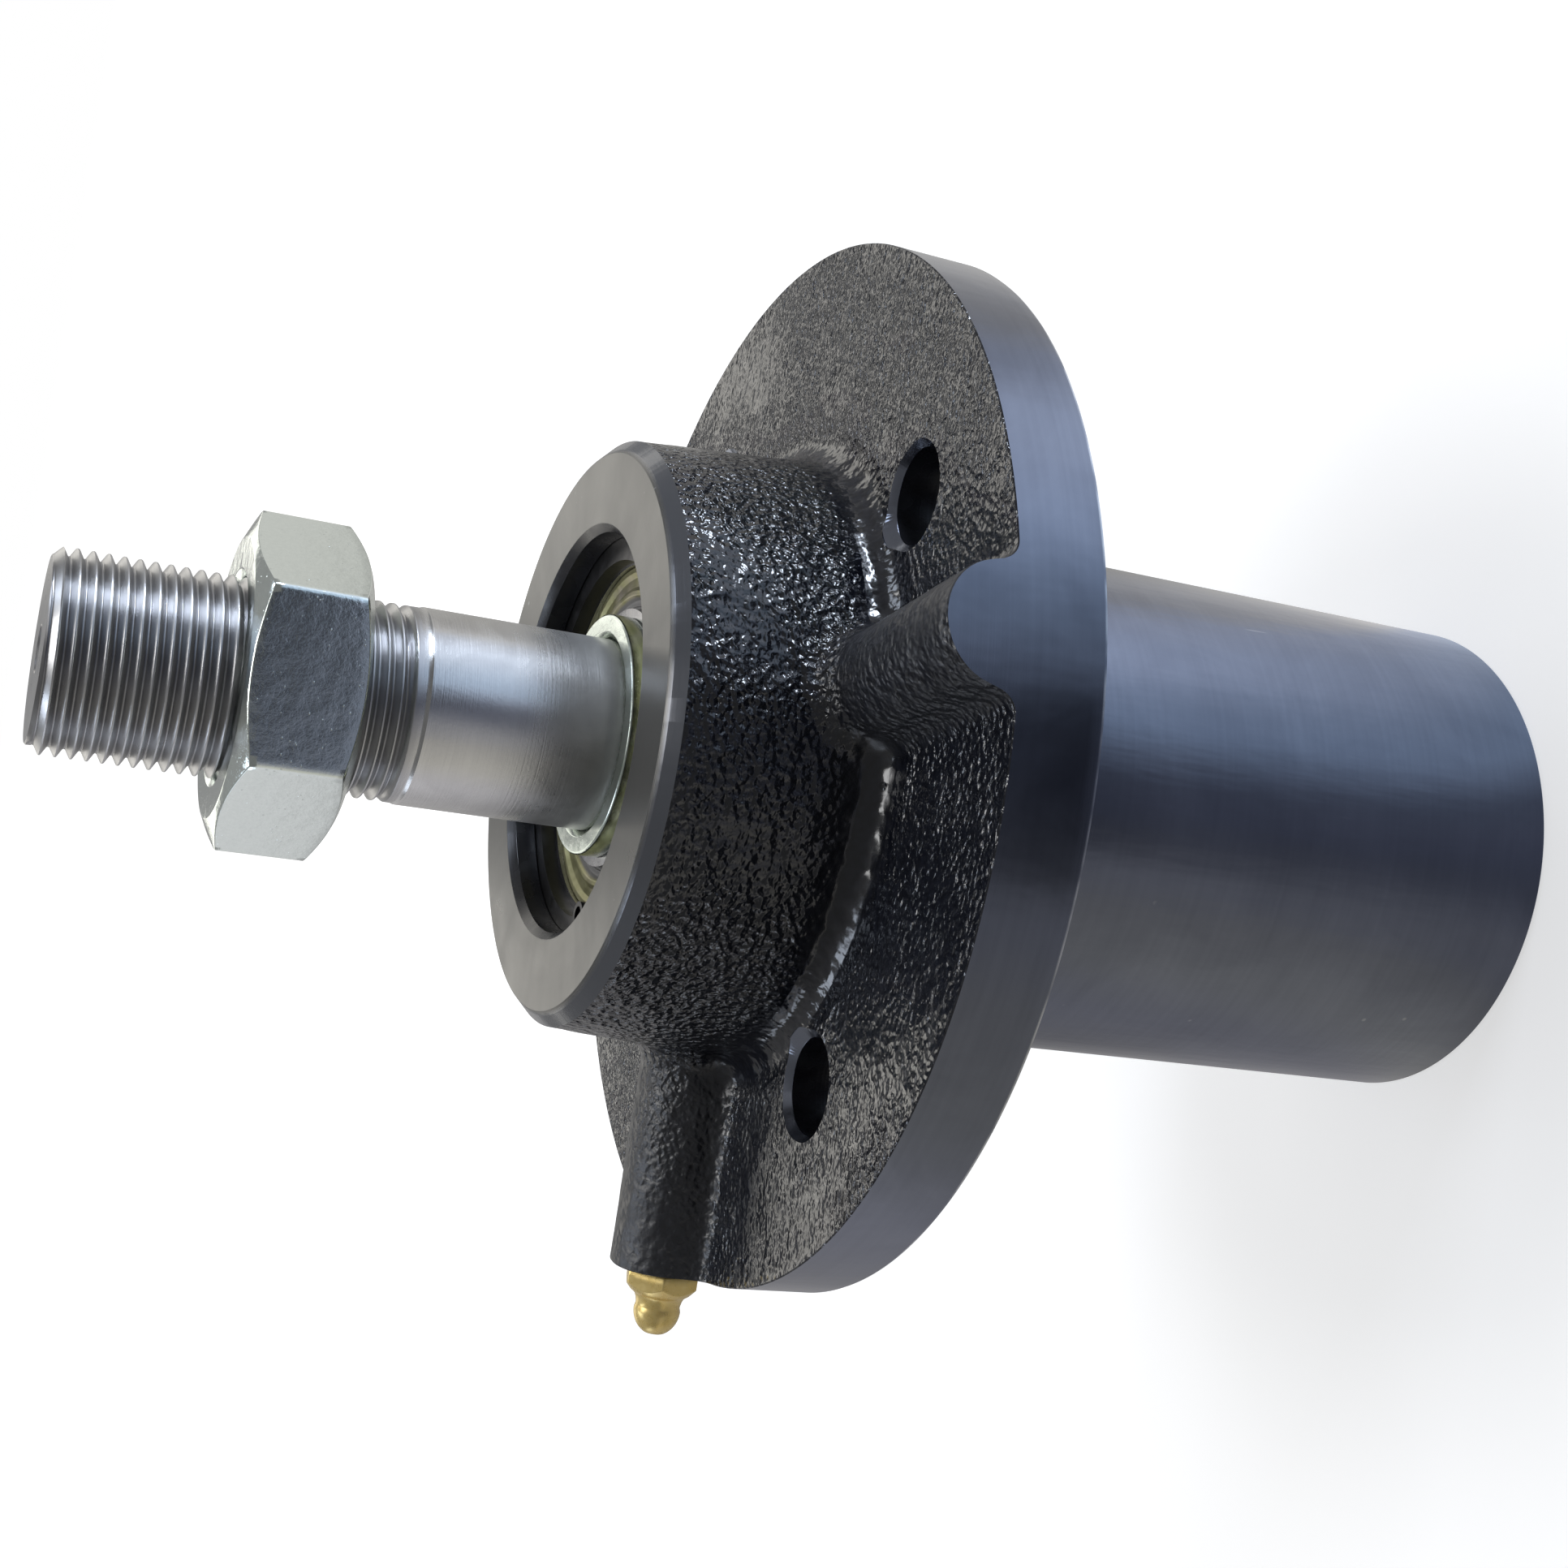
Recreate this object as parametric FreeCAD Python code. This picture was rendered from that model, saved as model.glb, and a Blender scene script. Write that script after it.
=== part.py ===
import FreeCAD, Part
import os
from math import atan2, cos, degrees, pi, radians, sin, sqrt, tan

from FreeCAD import Vector

# Mower deck spindle. Millimetres, Z up along the shaft, threaded end on top.
# The origin is the centre of the flange's rear face, which bolts to the mower deck.
# X lies along the long side of the rectangle of bolt holes.

# Housing casting
flange_dia = 140.0
flange_thickness = 11.1
boss_height = 27.3
boss_face_dia = 73.4
boss_edge_chamfer = 1.9
boss_draft_deg = 4.7
barrel_dia = 69.8
barrel_length = 94.3
barrel_edge_chamfer = 0.8
casting_fillet = 3.5
crown_fillet = 3.0
rim_chamfer = 0.4
shoulder_dia = 45.0
cavity_dia = 50.0
cavity_taper = 4.0
shoulder_thickness = 5.0

# Ribs that run from the boss to the rim, at angles from X
grease_rib_angle = 183.0
grease_rib_radius = 8.1
plain_rib_angle = 288.9
plain_rib_radius = 7.1
rib_axis_height = 1.7

# Bolt holes in the flange
bolt_spacing_x = 73.0
bolt_spacing_y = 67.0
bolt_hole_dia = 12.0
bolt_hole_chamfer = 0.85

# Bearings, two alike
bearing_od = 52.0
bearing_width = 15.0
ball_dia = 7.94
ball_count = 9
ball_circle_dia = 39.0
inner_land_dia = 34.4
outer_land_dia = 43.6
seal_seat_dia = 46.2
ring_chamfer = 1.0
groove_share = 0.52
seal_seat_depth = 2.0
seal_recess = 0.5
seal_thickness = 1.4
seal_lip_dia = 37.8
seal_lip_recess = 0.8
cage_width = 3.4
cage_thickness = 0.8
rivet_dia = 1.5
rivet_head_dia = 2.5
rivet_head_height = 0.5

# Retaining rings in the bore, two alike
circlip_thickness = 2.0
circlip_groove_dia = 55.0
circlip_inner_dia = 47.4
circlip_offset = 0.4
circlip_gap_angle = 203.0
circlip_gap_deg = 13.0
lug_radius = 1.9
lug_hole_dia = 2.5
lug_hole_circle_dia = 47.8
mouth_depth = 3.85
mouth_dia = 52.9
mouth_chamfer = 1.0

# Shaft
shaft_dia = 25.4
shaft_top = 104.8
thread_dia = 25.1
thread_length = 44.5
thread_end_chamfer = 1.2
shaft_head_dia = 34.0
shaft_recess = 0.8
shaft_head_chamfer = 0.8
blade_bolt_hole_dia = 14.3
blade_bolt_hole_depth = 38.0
blade_hole_chamfer = 1.0
drill_point_deg = 118.0
centre_hole_dia = 6.0

# Pieces on the shaft
nut_across_flats = 37.0
nut_thickness = 14.3
thread_above_nut = 21.95
nut_corner_angle = 7.0
nut_face_dia = 35.2
nut_chamfer_deg = 25.0
nut_bore_chamfer = 1.0
washer_dia = 32.0
washer_thickness = 3.0
washer_bevel = 0.9
washer_edge = 0.4
spacer_dia = 32.0

# Grease fitting, on an axis square to the shaft
grease_axis_height = 2.4
shank_dia = 8.0
shank_length = 6.5
grease_hole_dia = 5.0
fitting_stand = 0.4
hex_across_flats = 9.4
hex_length = 3.4
hex_angle = -13.0
hex_face_dia = 7.4
hex_chamfer_deg = 60.0
shank_chamfer = 0.5
neck_dia = 6.3
neck_length = 1.4
neck_taper = 0.45
nipple_head_dia = 6.8
nipple_length = 9.0
nipple_mouth_dia = 1.8
nipple_mouth_length = 0.9
seat_half_angle_deg = 33.0
check_ball_dia = 2.4
chamber_dia = 2.8
chamber_bottom = 0.5
spring_wire_dia = 0.3
spring_turns = 6

# Clearances, and how far a cutting shape stands past what it cuts
seat_gap = 0.02
running_gap = 0.05
loose_gap = 0.3
groove_play = 0.1
cage_play = 0.12
overshoot = 1.0

# Levels and radii that follow from the sizes above
flange_front = flange_thickness
boss_face = flange_front + boss_height
barrel_end = -barrel_length
bore_middle = (boss_face + barrel_end) / 2
circlip_top = boss_face - mouth_depth
bearing_top = circlip_top - circlip_thickness
upper_bearing = bearing_top - bearing_width / 2
bearing_foot = bearing_top - bearing_width
washer_top = bearing_top + washer_thickness
nut_top = shaft_top - thread_above_nut
rim_radius = flange_dia / 2
shaft_radius = shaft_dia / 2
ball_radius = ball_dia / 2
ball_circle = ball_circle_dia / 2
land_inner = inner_land_dia / 2
land_outer = outer_land_dia / 2
grease_level = flange_front + grease_axis_height

AXIS = Vector(0, 0, 1)
CENTRE = Vector(0, 0, 0)


def outline(start, *steps):
    """A face in the XZ plane. A step is a point (r, z), or an arc: a point on it and its end."""
    edges = []
    here = Vector(start[0], 0, start[1])
    closing = [start] if steps[-1] != start else []
    for step in list(steps) + closing:
        if isinstance(step[0], tuple):
            middle = Vector(step[0][0], 0, step[0][1])
            end = Vector(step[1][0], 0, step[1][1])
            edges.append(Part.Arc(here, middle, end).toShape())
        else:
            end = Vector(step[0], 0, step[1])
            edges.append(Part.LineSegment(here, end).toShape())
        here = end
    return Part.Face(Part.Wire(edges))


def turned(start, *steps):
    """A solid of revolution about Z."""
    return outline(start, *steps).revolve(CENTRE, AXIS, 360)


def disc(radius, low, high):
    return Part.makeCylinder(radius, high - low, Vector(0, 0, low), AXIS)


def ring(inner, outer, low, high):
    return disc(outer, low, high).cut(disc(inner, low, high))


def polar(radius, angle, level=0.0):
    return Vector(radius * cos(radians(angle)), radius * sin(radians(angle)), level)


def radial(shape, angle, level):
    """Lays a shape built along Z on the line that leaves the shaft's axis at this angle and level."""
    placed = shape.copy()
    placed.rotate(CENTRE, Vector(0, 1, 0), 90)
    placed.rotate(CENTRE, AXIS, angle)
    placed.translate(Vector(0, 0, level))
    return placed


def mirrored(shape):
    """The same piece at the barrel's end of the bore."""
    return shape.mirror(Vector(0, 0, bore_middle), AXIS)


def hex_corner(across_flats):
    """Distance from a hexagon's centre to its corners."""
    return across_flats / 2 / cos(radians(30))


def hexagon(across_flats, low, high, angle):
    corner = hex_corner(across_flats)
    points = [polar(corner, angle + 60 * i, low) for i in range(6)]
    face = Part.Face(Part.makePolygon(points + points[:1]))
    return face.extrude(Vector(0, 0, high - low))


def chamfered_hexagon(across_flats, low, high, angle, face, chamfer_deg, both_ends):
    """A hexagon turned down to a round face of this radius at the high end, or at both."""
    reach = hex_corner(across_flats) + overshoot
    drop = (reach - face) * tan(radians(chamfer_deg))
    limit = [(0, high), (face, high), (reach, high - drop)]
    if both_ends:
        limit += [(reach, low + drop), (face, low), (0, low)]
    else:
        limit += [(reach, low), (0, low)]
    return hexagon(across_flats, low, high, angle).common(turned(*limit))


def corner_arc(centre, radius, first_deg, last_deg):
    """An arc step for an outline: a point half way round, and the end."""
    half = radians((first_deg + last_deg) / 2)
    end = radians(last_deg)
    middle = (centre[0] + radius * cos(half), centre[1] + radius * sin(half))
    return (middle, (centre[0] + radius * cos(end), centre[1] + radius * sin(end)))


def rib(angle, radius):
    """A half-round bar with a fillet along each foot, from inside the boss to past the rim."""
    start = barrel_dia / 4
    level = flange_front + rib_axis_height
    buried = flange_front - flange_thickness / 4
    fillet_level = flange_front + casting_fillet
    reach = radius + casting_fillet
    foot = sqrt(reach**2 - (fillet_level - level) ** 2)
    lean = degrees(atan2(fillet_level - level, foot))
    section = outline(
        (-foot, buried),
        (-foot, flange_front),
        corner_arc((-foot, fillet_level), casting_fillet, -90, -lean),
        corner_arc((0, level), radius, 180 - lean, lean),
        corner_arc((foot, fillet_level), casting_fillet, 180 + lean, 270),
        (foot, buried),
    )
    bar = section.extrude(Vector(0, rim_radius + casting_fillet - start, 0))
    bar.translate(Vector(0, start, 0))
    bar.rotate(CENTRE, AXIS, angle - 90)
    return bar


def boss_radius(level):
    """Radius of the drafted boss wall at a level, taken from the chamfered edge at its top."""
    edge_level = boss_face - boss_edge_chamfer
    edge_radius = boss_face_dia / 2 + boss_edge_chamfer
    return edge_radius + (edge_level - level) * tan(radians(boss_draft_deg))


def crown(angle, radius):
    """The top of a rib where it runs into the boss, with a fillet all round the joint."""
    level = flange_front + rib_axis_height
    low = level - radius - 2 * crown_fillet
    high = boss_face - boss_edge_chamfer
    wall = turned((0, low), (boss_radius(low), low), (boss_radius(high), high), (0, high))
    bar = radial(disc(radius, barrel_dia / 4, rim_radius + overshoot), angle, level)
    joined = wall.fuse(bar)
    return joined.makeFillet(crown_fillet, [edge for edge in joined.Edges if "BSpline" in edge.Curve.TypeId])


def housing_blank():
    """Boss, flange, ribs and barrel, still solid."""
    wall_top = (boss_face_dia / 2 + boss_edge_chamfer, boss_face - boss_edge_chamfer)
    fillet_level = flange_front + casting_fillet
    fillet_centre = boss_radius(fillet_level) + casting_fillet / cos(radians(boss_draft_deg))
    blank = turned(
        (0, 0),
        (rim_radius + casting_fillet, 0),
        (rim_radius + casting_fillet, flange_front),
        (fillet_centre, flange_front),
        corner_arc((fillet_centre, fillet_level), casting_fillet, 270, 180 + boss_draft_deg),
        wall_top,
        (boss_face_dia / 2, boss_face),
        (0, boss_face),
    )
    for angle, radius in ((grease_rib_angle, grease_rib_radius), (plain_rib_angle, plain_rib_radius)):
        blank = blank.fuse([rib(angle, radius), crown(angle, radius)])
    rim = turned(
        (0, 0),
        (rim_radius - rim_chamfer, 0),
        (rim_radius, rim_chamfer),
        (rim_radius, boss_face),
        (0, boss_face),
    )
    blank = blank.common(rim)
    barrel = turned(
        (0, flange_thickness / 2),
        (barrel_dia / 2, flange_thickness / 2),
        (barrel_dia / 2, barrel_end + barrel_edge_chamfer),
        (barrel_dia / 2 - barrel_edge_chamfer, barrel_end),
        (0, barrel_end),
    )
    return blank.fuse(barrel)


def bore_end():
    """The space for one bearing and its snap ring, at the boss's end."""
    mouth = mouth_dia / 2
    seat = bearing_od / 2 + seat_gap
    groove = circlip_groove_dia / 2
    groove_foot = circlip_top - circlip_thickness
    return turned(
        (0, boss_face + overshoot),
        (mouth + mouth_chamfer, boss_face + overshoot),
        (mouth + mouth_chamfer, boss_face),
        (mouth, boss_face - mouth_chamfer),
        (mouth, circlip_top + groove_play),
        (groove, circlip_top + groove_play),
        (groove, groove_foot),
        (seat, groove_foot),
        (seat, bearing_foot),
        (shoulder_dia / 2, bearing_foot),
        (shoulder_dia / 2, bearing_foot - shoulder_thickness),
        (0, bearing_foot - shoulder_thickness),
    )


def cavity():
    """The cored grease space between the two bearing shoulders."""
    top = bearing_foot - shoulder_thickness
    low = 2 * bore_middle - top
    return turned(
        (0, top),
        (shoulder_dia / 2, top),
        (cavity_dia / 2, top - cavity_taper),
        (cavity_dia / 2, low + cavity_taper),
        (shoulder_dia / 2, low),
        (0, low),
    )


def bolt_hole(x, y):
    """A drilled hole through the flange, countersunk from the front."""
    hole = bolt_hole_dia / 2
    tool = turned(
        (0, -overshoot),
        (hole, -overshoot),
        (hole, flange_front - bolt_hole_chamfer),
        (hole + bolt_hole_chamfer, flange_front),
        (hole + bolt_hole_chamfer, flange_front + casting_fillet),
        (0, flange_front + casting_fillet),
    )
    tool.translate(Vector(x, y, 0))
    return tool


def grease_drilling():
    """The tapped hole for the fitting and the passage on to the cavity."""
    floor = rim_radius - shank_length - loose_gap
    tapped = disc(shank_dia / 2 + seat_gap, floor, rim_radius + overshoot)
    passage = disc(grease_hole_dia / 2, shoulder_dia / 4, floor)
    return radial(tapped.fuse(passage), grease_rib_angle, grease_level)


def housing():
    tools = [bore_end(), mirrored(bore_end()), cavity(), grease_drilling()]
    for x in (-bolt_spacing_x / 2, bolt_spacing_x / 2):
        for y in (-bolt_spacing_y / 2, bolt_spacing_y / 2):
            tools.append(bolt_hole(x, y))
    return housing_blank().cut(tools)


def shaft():
    """Headed bar, turned, with a thread's plain blank on top and a drilled hole for the blade bolt."""
    low = barrel_end + shaft_recess
    shoulder = 2 * bore_middle - bearing_top
    head = shaft_head_dia / 2
    thread = thread_dia / 2
    thread_foot = shaft_top - thread_length
    step = shaft_radius - thread
    bar = turned(
        (0, low),
        (head - shaft_head_chamfer, low),
        (head, low + shaft_head_chamfer),
        (head, shoulder),
        (shaft_radius, shoulder),
        (shaft_radius, thread_foot - step),
        (thread, thread_foot),
        (thread, shaft_top - thread_end_chamfer),
        (thread - thread_end_chamfer, shaft_top),
        (0, shaft_top),
    )
    hole = blade_bolt_hole_dia / 2
    depth = low + blade_bolt_hole_depth
    drilled = turned(
        (0, low - overshoot),
        (hole + blade_hole_chamfer + overshoot, low - overshoot),
        (hole, low + blade_hole_chamfer),
        (hole, depth),
        (0, depth + hole / tan(radians(drill_point_deg / 2))),
    )
    centre = centre_hole_dia / 2
    centre_hole = turned(
        (0, shaft_top - centre * sqrt(3)),
        (centre, shaft_top),
        (centre, shaft_top + overshoot),
        (0, shaft_top + overshoot),
    )
    return bar.cut([drilled, centre_hole])


def outer_ring(middle):
    """Outer race ring with a ball groove and a seal seat on each side."""
    half = bearing_width / 2
    outer = bearing_od / 2
    groove = groove_share * ball_dia
    floor = ball_circle + ball_radius + running_gap
    run = sqrt(groove**2 - (land_outer - floor + groove) ** 2)
    seat = seal_seat_dia / 2
    lip = half - seal_seat_depth
    return turned(
        (outer, middle - half + ring_chamfer),
        (outer, middle + half - ring_chamfer),
        (outer - ring_chamfer, middle + half),
        (seat, middle + half),
        (seat, middle + lip),
        (land_outer, middle + lip),
        (land_outer, middle + run),
        ((floor, middle), (land_outer, middle - run)),
        (land_outer, middle - lip),
        (seat, middle - lip),
        (seat, middle - half),
        (outer - ring_chamfer, middle - half),
    )


def inner_ring(middle):
    """Inner race ring, held on the shaft."""
    half = bearing_width / 2
    bore = shaft_radius + seat_gap
    groove = groove_share * ball_dia
    floor = ball_circle - ball_radius - running_gap
    run = sqrt(groove**2 - (floor + groove - land_inner) ** 2)
    return turned(
        (bore, middle - half + ring_chamfer),
        (bore + ring_chamfer, middle - half),
        (land_inner, middle - half),
        (land_inner, middle - run),
        ((floor, middle), (land_inner, middle + run)),
        (land_inner, middle + half),
        (bore + ring_chamfer, middle + half),
        (bore, middle + half - ring_chamfer),
    )


def ball_angles():
    return [360.0 * i / ball_count for i in range(ball_count)]


def spheres(radius, middle):
    return [Part.makeSphere(radius, polar(ball_circle, angle, middle)) for angle in ball_angles()]


def rivet_angles():
    return [angle + 180.0 / ball_count for angle in ball_angles()]


def cage_half(middle):
    """A pressed ribbon: flat lands with a rounded pocket over each ball."""
    inner = ball_circle - cage_width / 2
    outer = ball_circle + cage_width / 2
    pocket = ball_radius + cage_play
    shell = pocket + cage_thickness
    domes = ring(inner, outer, middle, middle + shell).common(Part.makeCompound(spheres(shell, middle)))
    lands = ring(inner, outer, middle, middle + cage_thickness)
    ribbon = lands.fuse(domes.Solids).cut(spheres(pocket, middle))
    holes = []
    for angle in rivet_angles():
        hole = disc(rivet_dia / 2, middle - overshoot, middle + cage_thickness + overshoot)
        hole.translate(polar(ball_circle, angle))
        holes.append(hole)
    return ribbon.cut(holes)


def cage_rivets(middle):
    """Domed rivets that hold the two cage halves together."""
    shank = rivet_dia / 2 - seat_gap
    head = rivet_head_dia / 2
    grip = cage_thickness + seat_gap
    dome = (head**2 + rivet_head_height**2) / (2 * rivet_head_height)
    crown = grip + rivet_head_height
    shoulder = crown - dome + sqrt(dome**2 - shank**2)
    rivets = []
    for angle in rivet_angles():
        rivet = turned(
            (0, middle - crown),
            ((shank, middle - shoulder), (head, middle - grip)),
            (shank, middle - grip),
            (shank, middle + grip),
            (head, middle + grip),
            ((shank, middle + shoulder), (0, middle + crown)),
        )
        rivet.translate(polar(ball_circle, angle))
        rivets.append(rivet)
    return Part.makeCompound(rivets)


def seal(middle):
    """Dished metal shield with a moulded lip that runs on the inner ring."""
    top = middle + bearing_width / 2 - seal_recess
    low = top - seal_thickness
    outer = seal_seat_dia / 2 - seat_gap
    lip = seal_lip_dia / 2
    lip_top = top - seal_lip_recess
    running = land_inner + running_gap
    return turned(
        (running, low),
        (running, lip_top),
        (lip - seal_recess, lip_top),
        (lip + seal_recess / 2, top),
        (outer - seal_recess / 2, top),
        (outer, top - seal_recess / 2),
        (outer, low),
    )


def circlip():
    """Flat sprung ring, open at a gap, with a drilled lug at each end."""
    low = bearing_top
    top = circlip_top
    outer = circlip_groove_dia / 2 - loose_gap
    bore = disc(circlip_inner_dia / 2, low, top)
    bore.translate(polar(circlip_offset, circlip_gap_angle))
    blade = disc(outer, low, top).cut(bore)
    half_gap = circlip_gap_deg / 2
    reach = circlip_groove_dia
    wedge = [Vector(0, 0, low), polar(reach, circlip_gap_angle - half_gap, low)]
    wedge += [polar(reach, circlip_gap_angle + half_gap, low), Vector(0, 0, low)]
    blade = blade.cut(Part.Face(Part.makePolygon(wedge)).extrude(Vector(0, 0, top - low)))
    hole_circle = lug_hole_circle_dia / 2
    lug_half_deg = degrees(lug_radius / hole_circle)
    for side in (-1, 1):
        angle = circlip_gap_angle + side * (half_gap + lug_half_deg)
        lug = disc(lug_radius, low, top)
        lug.translate(polar(hole_circle, angle))
        blade = blade.fuse(lug)
    holes = []
    for side in (-1, 1):
        angle = circlip_gap_angle + side * (half_gap + lug_half_deg)
        hole = disc(lug_hole_dia / 2, low, top)
        hole.translate(polar(hole_circle, angle))
        holes.append(hole)
    return blade.cut(holes).removeSplitter()


def shaft_nut():
    """Thin hexagon nut, chamfered on both faces, with a plain bore for the thread."""
    low = nut_top - nut_thickness
    bore = thread_dia / 2 + running_gap
    hole = turned(
        (0, low - overshoot),
        (bore + nut_bore_chamfer + overshoot, low - overshoot),
        (bore, low + nut_bore_chamfer),
        (bore, nut_top - nut_bore_chamfer),
        (bore + nut_bore_chamfer + overshoot, nut_top + overshoot),
        (0, nut_top + overshoot),
    )
    face = nut_face_dia / 2
    blank = chamfered_hexagon(nut_across_flats, low, nut_top, nut_corner_angle, face, nut_chamfer_deg, True)
    return blank.cut(hole)


def pulley_washer():
    """Thick washer that carries the pulley's hub clear of the seal."""
    outer = washer_dia / 2
    bore = shaft_radius + running_gap
    return turned(
        (bore, bearing_top),
        (outer - washer_edge, bearing_top),
        (outer, bearing_top + washer_edge),
        (outer, washer_top - washer_edge),
        (outer - washer_edge, washer_top),
        (bore + washer_bevel, washer_top),
        (bore, washer_top - washer_bevel),
    )


def bearing_spacer():
    """Tube that holds the two inner rings apart."""
    return ring(shaft_radius + loose_gap, spacer_dia / 2, 2 * bore_middle - bearing_foot, bearing_foot)


def seat_apex():
    """Distance along the fitting from its base to the point where its seat cone would close."""
    mouth = nipple_length - nipple_mouth_length
    return mouth + nipple_mouth_dia / 2 / tan(radians(seat_half_angle_deg))


def ball_place():
    return seat_apex() - (check_ball_dia / 2 + seat_gap) / sin(radians(seat_half_angle_deg))


def on_fitting(shape):
    """Places a piece built from the fitting's base upwards at the end of the grease rib."""
    placed = shape.copy()
    placed.translate(Vector(0, 0, rim_radius + fitting_stand))
    return radial(placed, grease_rib_angle, grease_level)


def grease_fitting():
    """Screwed nipple: shank, hexagon, waisted neck and round head, bored through."""
    shank = shank_dia / 2
    neck = neck_dia / 2
    head = nipple_head_dia / 2
    neck_top = hex_length + neck_length
    head_level = neck_top + sqrt(head**2 - neck**2)
    tip_rise = nipple_length - head_level
    tip = sqrt(head**2 - tip_rise**2)
    body = turned(
        (0, -shank_length),
        (shank - seat_gap - shank_chamfer, -shank_length),
        (shank - seat_gap, -shank_length + shank_chamfer),
        (shank - seat_gap, hex_length),
        (neck + neck_taper, hex_length),
        (neck, neck_top),
        ((head, head_level), (tip, nipple_length)),
        (0, nipple_length),
    )
    face = hex_face_dia / 2
    hexagon_part = chamfered_hexagon(hex_across_flats, 0, hex_length, hex_angle, face, hex_chamfer_deg, False)
    body = body.fuse(hexagon_part)
    mouth = nipple_mouth_dia / 2
    mouth_foot = nipple_length - nipple_mouth_length
    chamber = chamber_dia / 2
    seat_foot = seat_apex() - chamber / tan(radians(seat_half_angle_deg))
    passage = turned(
        (0, -shank_length - overshoot),
        (mouth, -shank_length - overshoot),
        (mouth, chamber_bottom),
        (chamber, chamber_bottom),
        (chamber, seat_foot),
        (mouth, mouth_foot),
        (mouth, nipple_length + overshoot),
        (0, nipple_length + overshoot),
    )
    return on_fitting(body.cut(passage).removeSplitter())


def check_ball():
    return on_fitting(Part.makeSphere(check_ball_dia / 2, Vector(0, 0, ball_place())))


def check_spring():
    """Coil that holds the check ball on its seat."""
    wire = spring_wire_dia / 2
    radius = chamber_dia / 2 - wire - cage_play
    low = chamber_bottom + wire + seat_gap
    top = ball_place() - sqrt((check_ball_dia / 2 + wire + seat_gap) ** 2 - radius**2)
    pitch = (top - low) / spring_turns
    helix = Part.makeHelix(pitch, top - low, radius)
    along_wire = Vector(0, 2 * pi * radius, pitch)
    section = Part.Wire(Part.Circle(Vector(radius, 0, 0), along_wire, wire).toShape())
    coil = Part.Wire(helix.Edges).makePipeShell([section], True, False)
    coil.translate(Vector(0, 0, low))
    return on_fitting(coil)


def bearing_pieces():
    return {
        "outer_ring": outer_ring(upper_bearing),
        "inner_ring": inner_ring(upper_bearing),
        "balls": Part.makeCompound(spheres(ball_radius, upper_bearing)),
        "cage_outer_half": cage_half(upper_bearing),
        "cage_inner_half": cage_half(upper_bearing).mirror(Vector(0, 0, upper_bearing), AXIS),
        "cage_rivets": cage_rivets(upper_bearing),
        "seal": seal(upper_bearing),
        "circlip": circlip(),
    }


def pieces():
    nodes = {
        "housing": housing(),
        "shaft": shaft(),
        "shaft_nut": shaft_nut(),
        "pulley_washer": pulley_washer(),
        "bearing_spacer": bearing_spacer(),
        "grease_fitting": grease_fitting(),
        "check_ball": check_ball(),
        "check_spring": check_spring(),
    }
    for name, shape in bearing_pieces().items():
        nodes["upper_" + name] = shape
        nodes["lower_" + name] = mirrored(shape)
    return nodes


os.makedirs("parts", exist_ok=True)
for name, shape in pieces().items():
    shape.exportStep("parts/" + name + ".step")
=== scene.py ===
"""Looks of the mower deck spindle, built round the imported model.

Sizes are in mm in the tables and in metres in Blender.
"""

import math

import bmesh
import bpy
import numpy as np
from mathutils import Matrix, Vector

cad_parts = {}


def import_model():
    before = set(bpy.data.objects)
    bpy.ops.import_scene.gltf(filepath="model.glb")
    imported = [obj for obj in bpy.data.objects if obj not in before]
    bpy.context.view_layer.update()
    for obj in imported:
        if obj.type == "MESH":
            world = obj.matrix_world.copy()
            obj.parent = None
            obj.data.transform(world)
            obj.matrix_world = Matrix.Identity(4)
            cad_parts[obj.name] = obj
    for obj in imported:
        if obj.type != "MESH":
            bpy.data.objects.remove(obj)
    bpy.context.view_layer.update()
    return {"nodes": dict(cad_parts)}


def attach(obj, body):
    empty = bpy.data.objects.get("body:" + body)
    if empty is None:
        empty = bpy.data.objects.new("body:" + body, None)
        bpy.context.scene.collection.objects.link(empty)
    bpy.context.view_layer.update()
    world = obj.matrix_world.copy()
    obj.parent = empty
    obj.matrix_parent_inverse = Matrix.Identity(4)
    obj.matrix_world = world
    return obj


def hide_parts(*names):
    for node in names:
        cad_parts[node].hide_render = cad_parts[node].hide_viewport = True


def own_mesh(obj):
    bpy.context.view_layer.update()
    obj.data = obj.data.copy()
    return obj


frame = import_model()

MM = 0.001
NODES = frame["nodes"]

# Housing, as in the model
FLANGE_FRONT = 11.1
RIM = 69.99
RIM_EDGE = 0.15
RIM_FOOT = 0.55
BOSS_FACE = 38.4
BOSS_FACE_R = 36.7
BOSS_CHAMFER = 1.9
DRAFT = math.radians(4.7)
BARREL_R = 34.9
BARREL_END = -94.3
BARREL_CHAMFER = 0.8
FILLET = 3.5
CROWN_FILLET = 3.0
RIB_AXIS = 12.8
RIBS = ((183.0, 8.1), (288.9, 7.1))  # turn in degrees, radius
BOLTS = [(x, y) for x in (-36.5, 36.5) for y in (-33.5, 33.5)]
BOLT_R = 6.0
GREASE_ANGLE = math.radians(183.0)
GREASE_LEVEL = 13.5

# The upper half of the bore, which the lower half mirrors
BORE_MIDDLE = (BOSS_FACE + BARREL_END) / 2
BEARING_TOP = 32.55
CAVITY_R = 25.0
CAVITY_TOP = 8.55
SHOULDER_R = 22.5
SHOULDER_LOW = 12.55
SHOULDER_TOP = 17.55
SEAT_R = 26.02
GROOVE_R = 27.5
GROOVE_TOP = 34.65
MOUTH_R = 26.45
MOUTH_CHAMFER = 1.0

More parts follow.
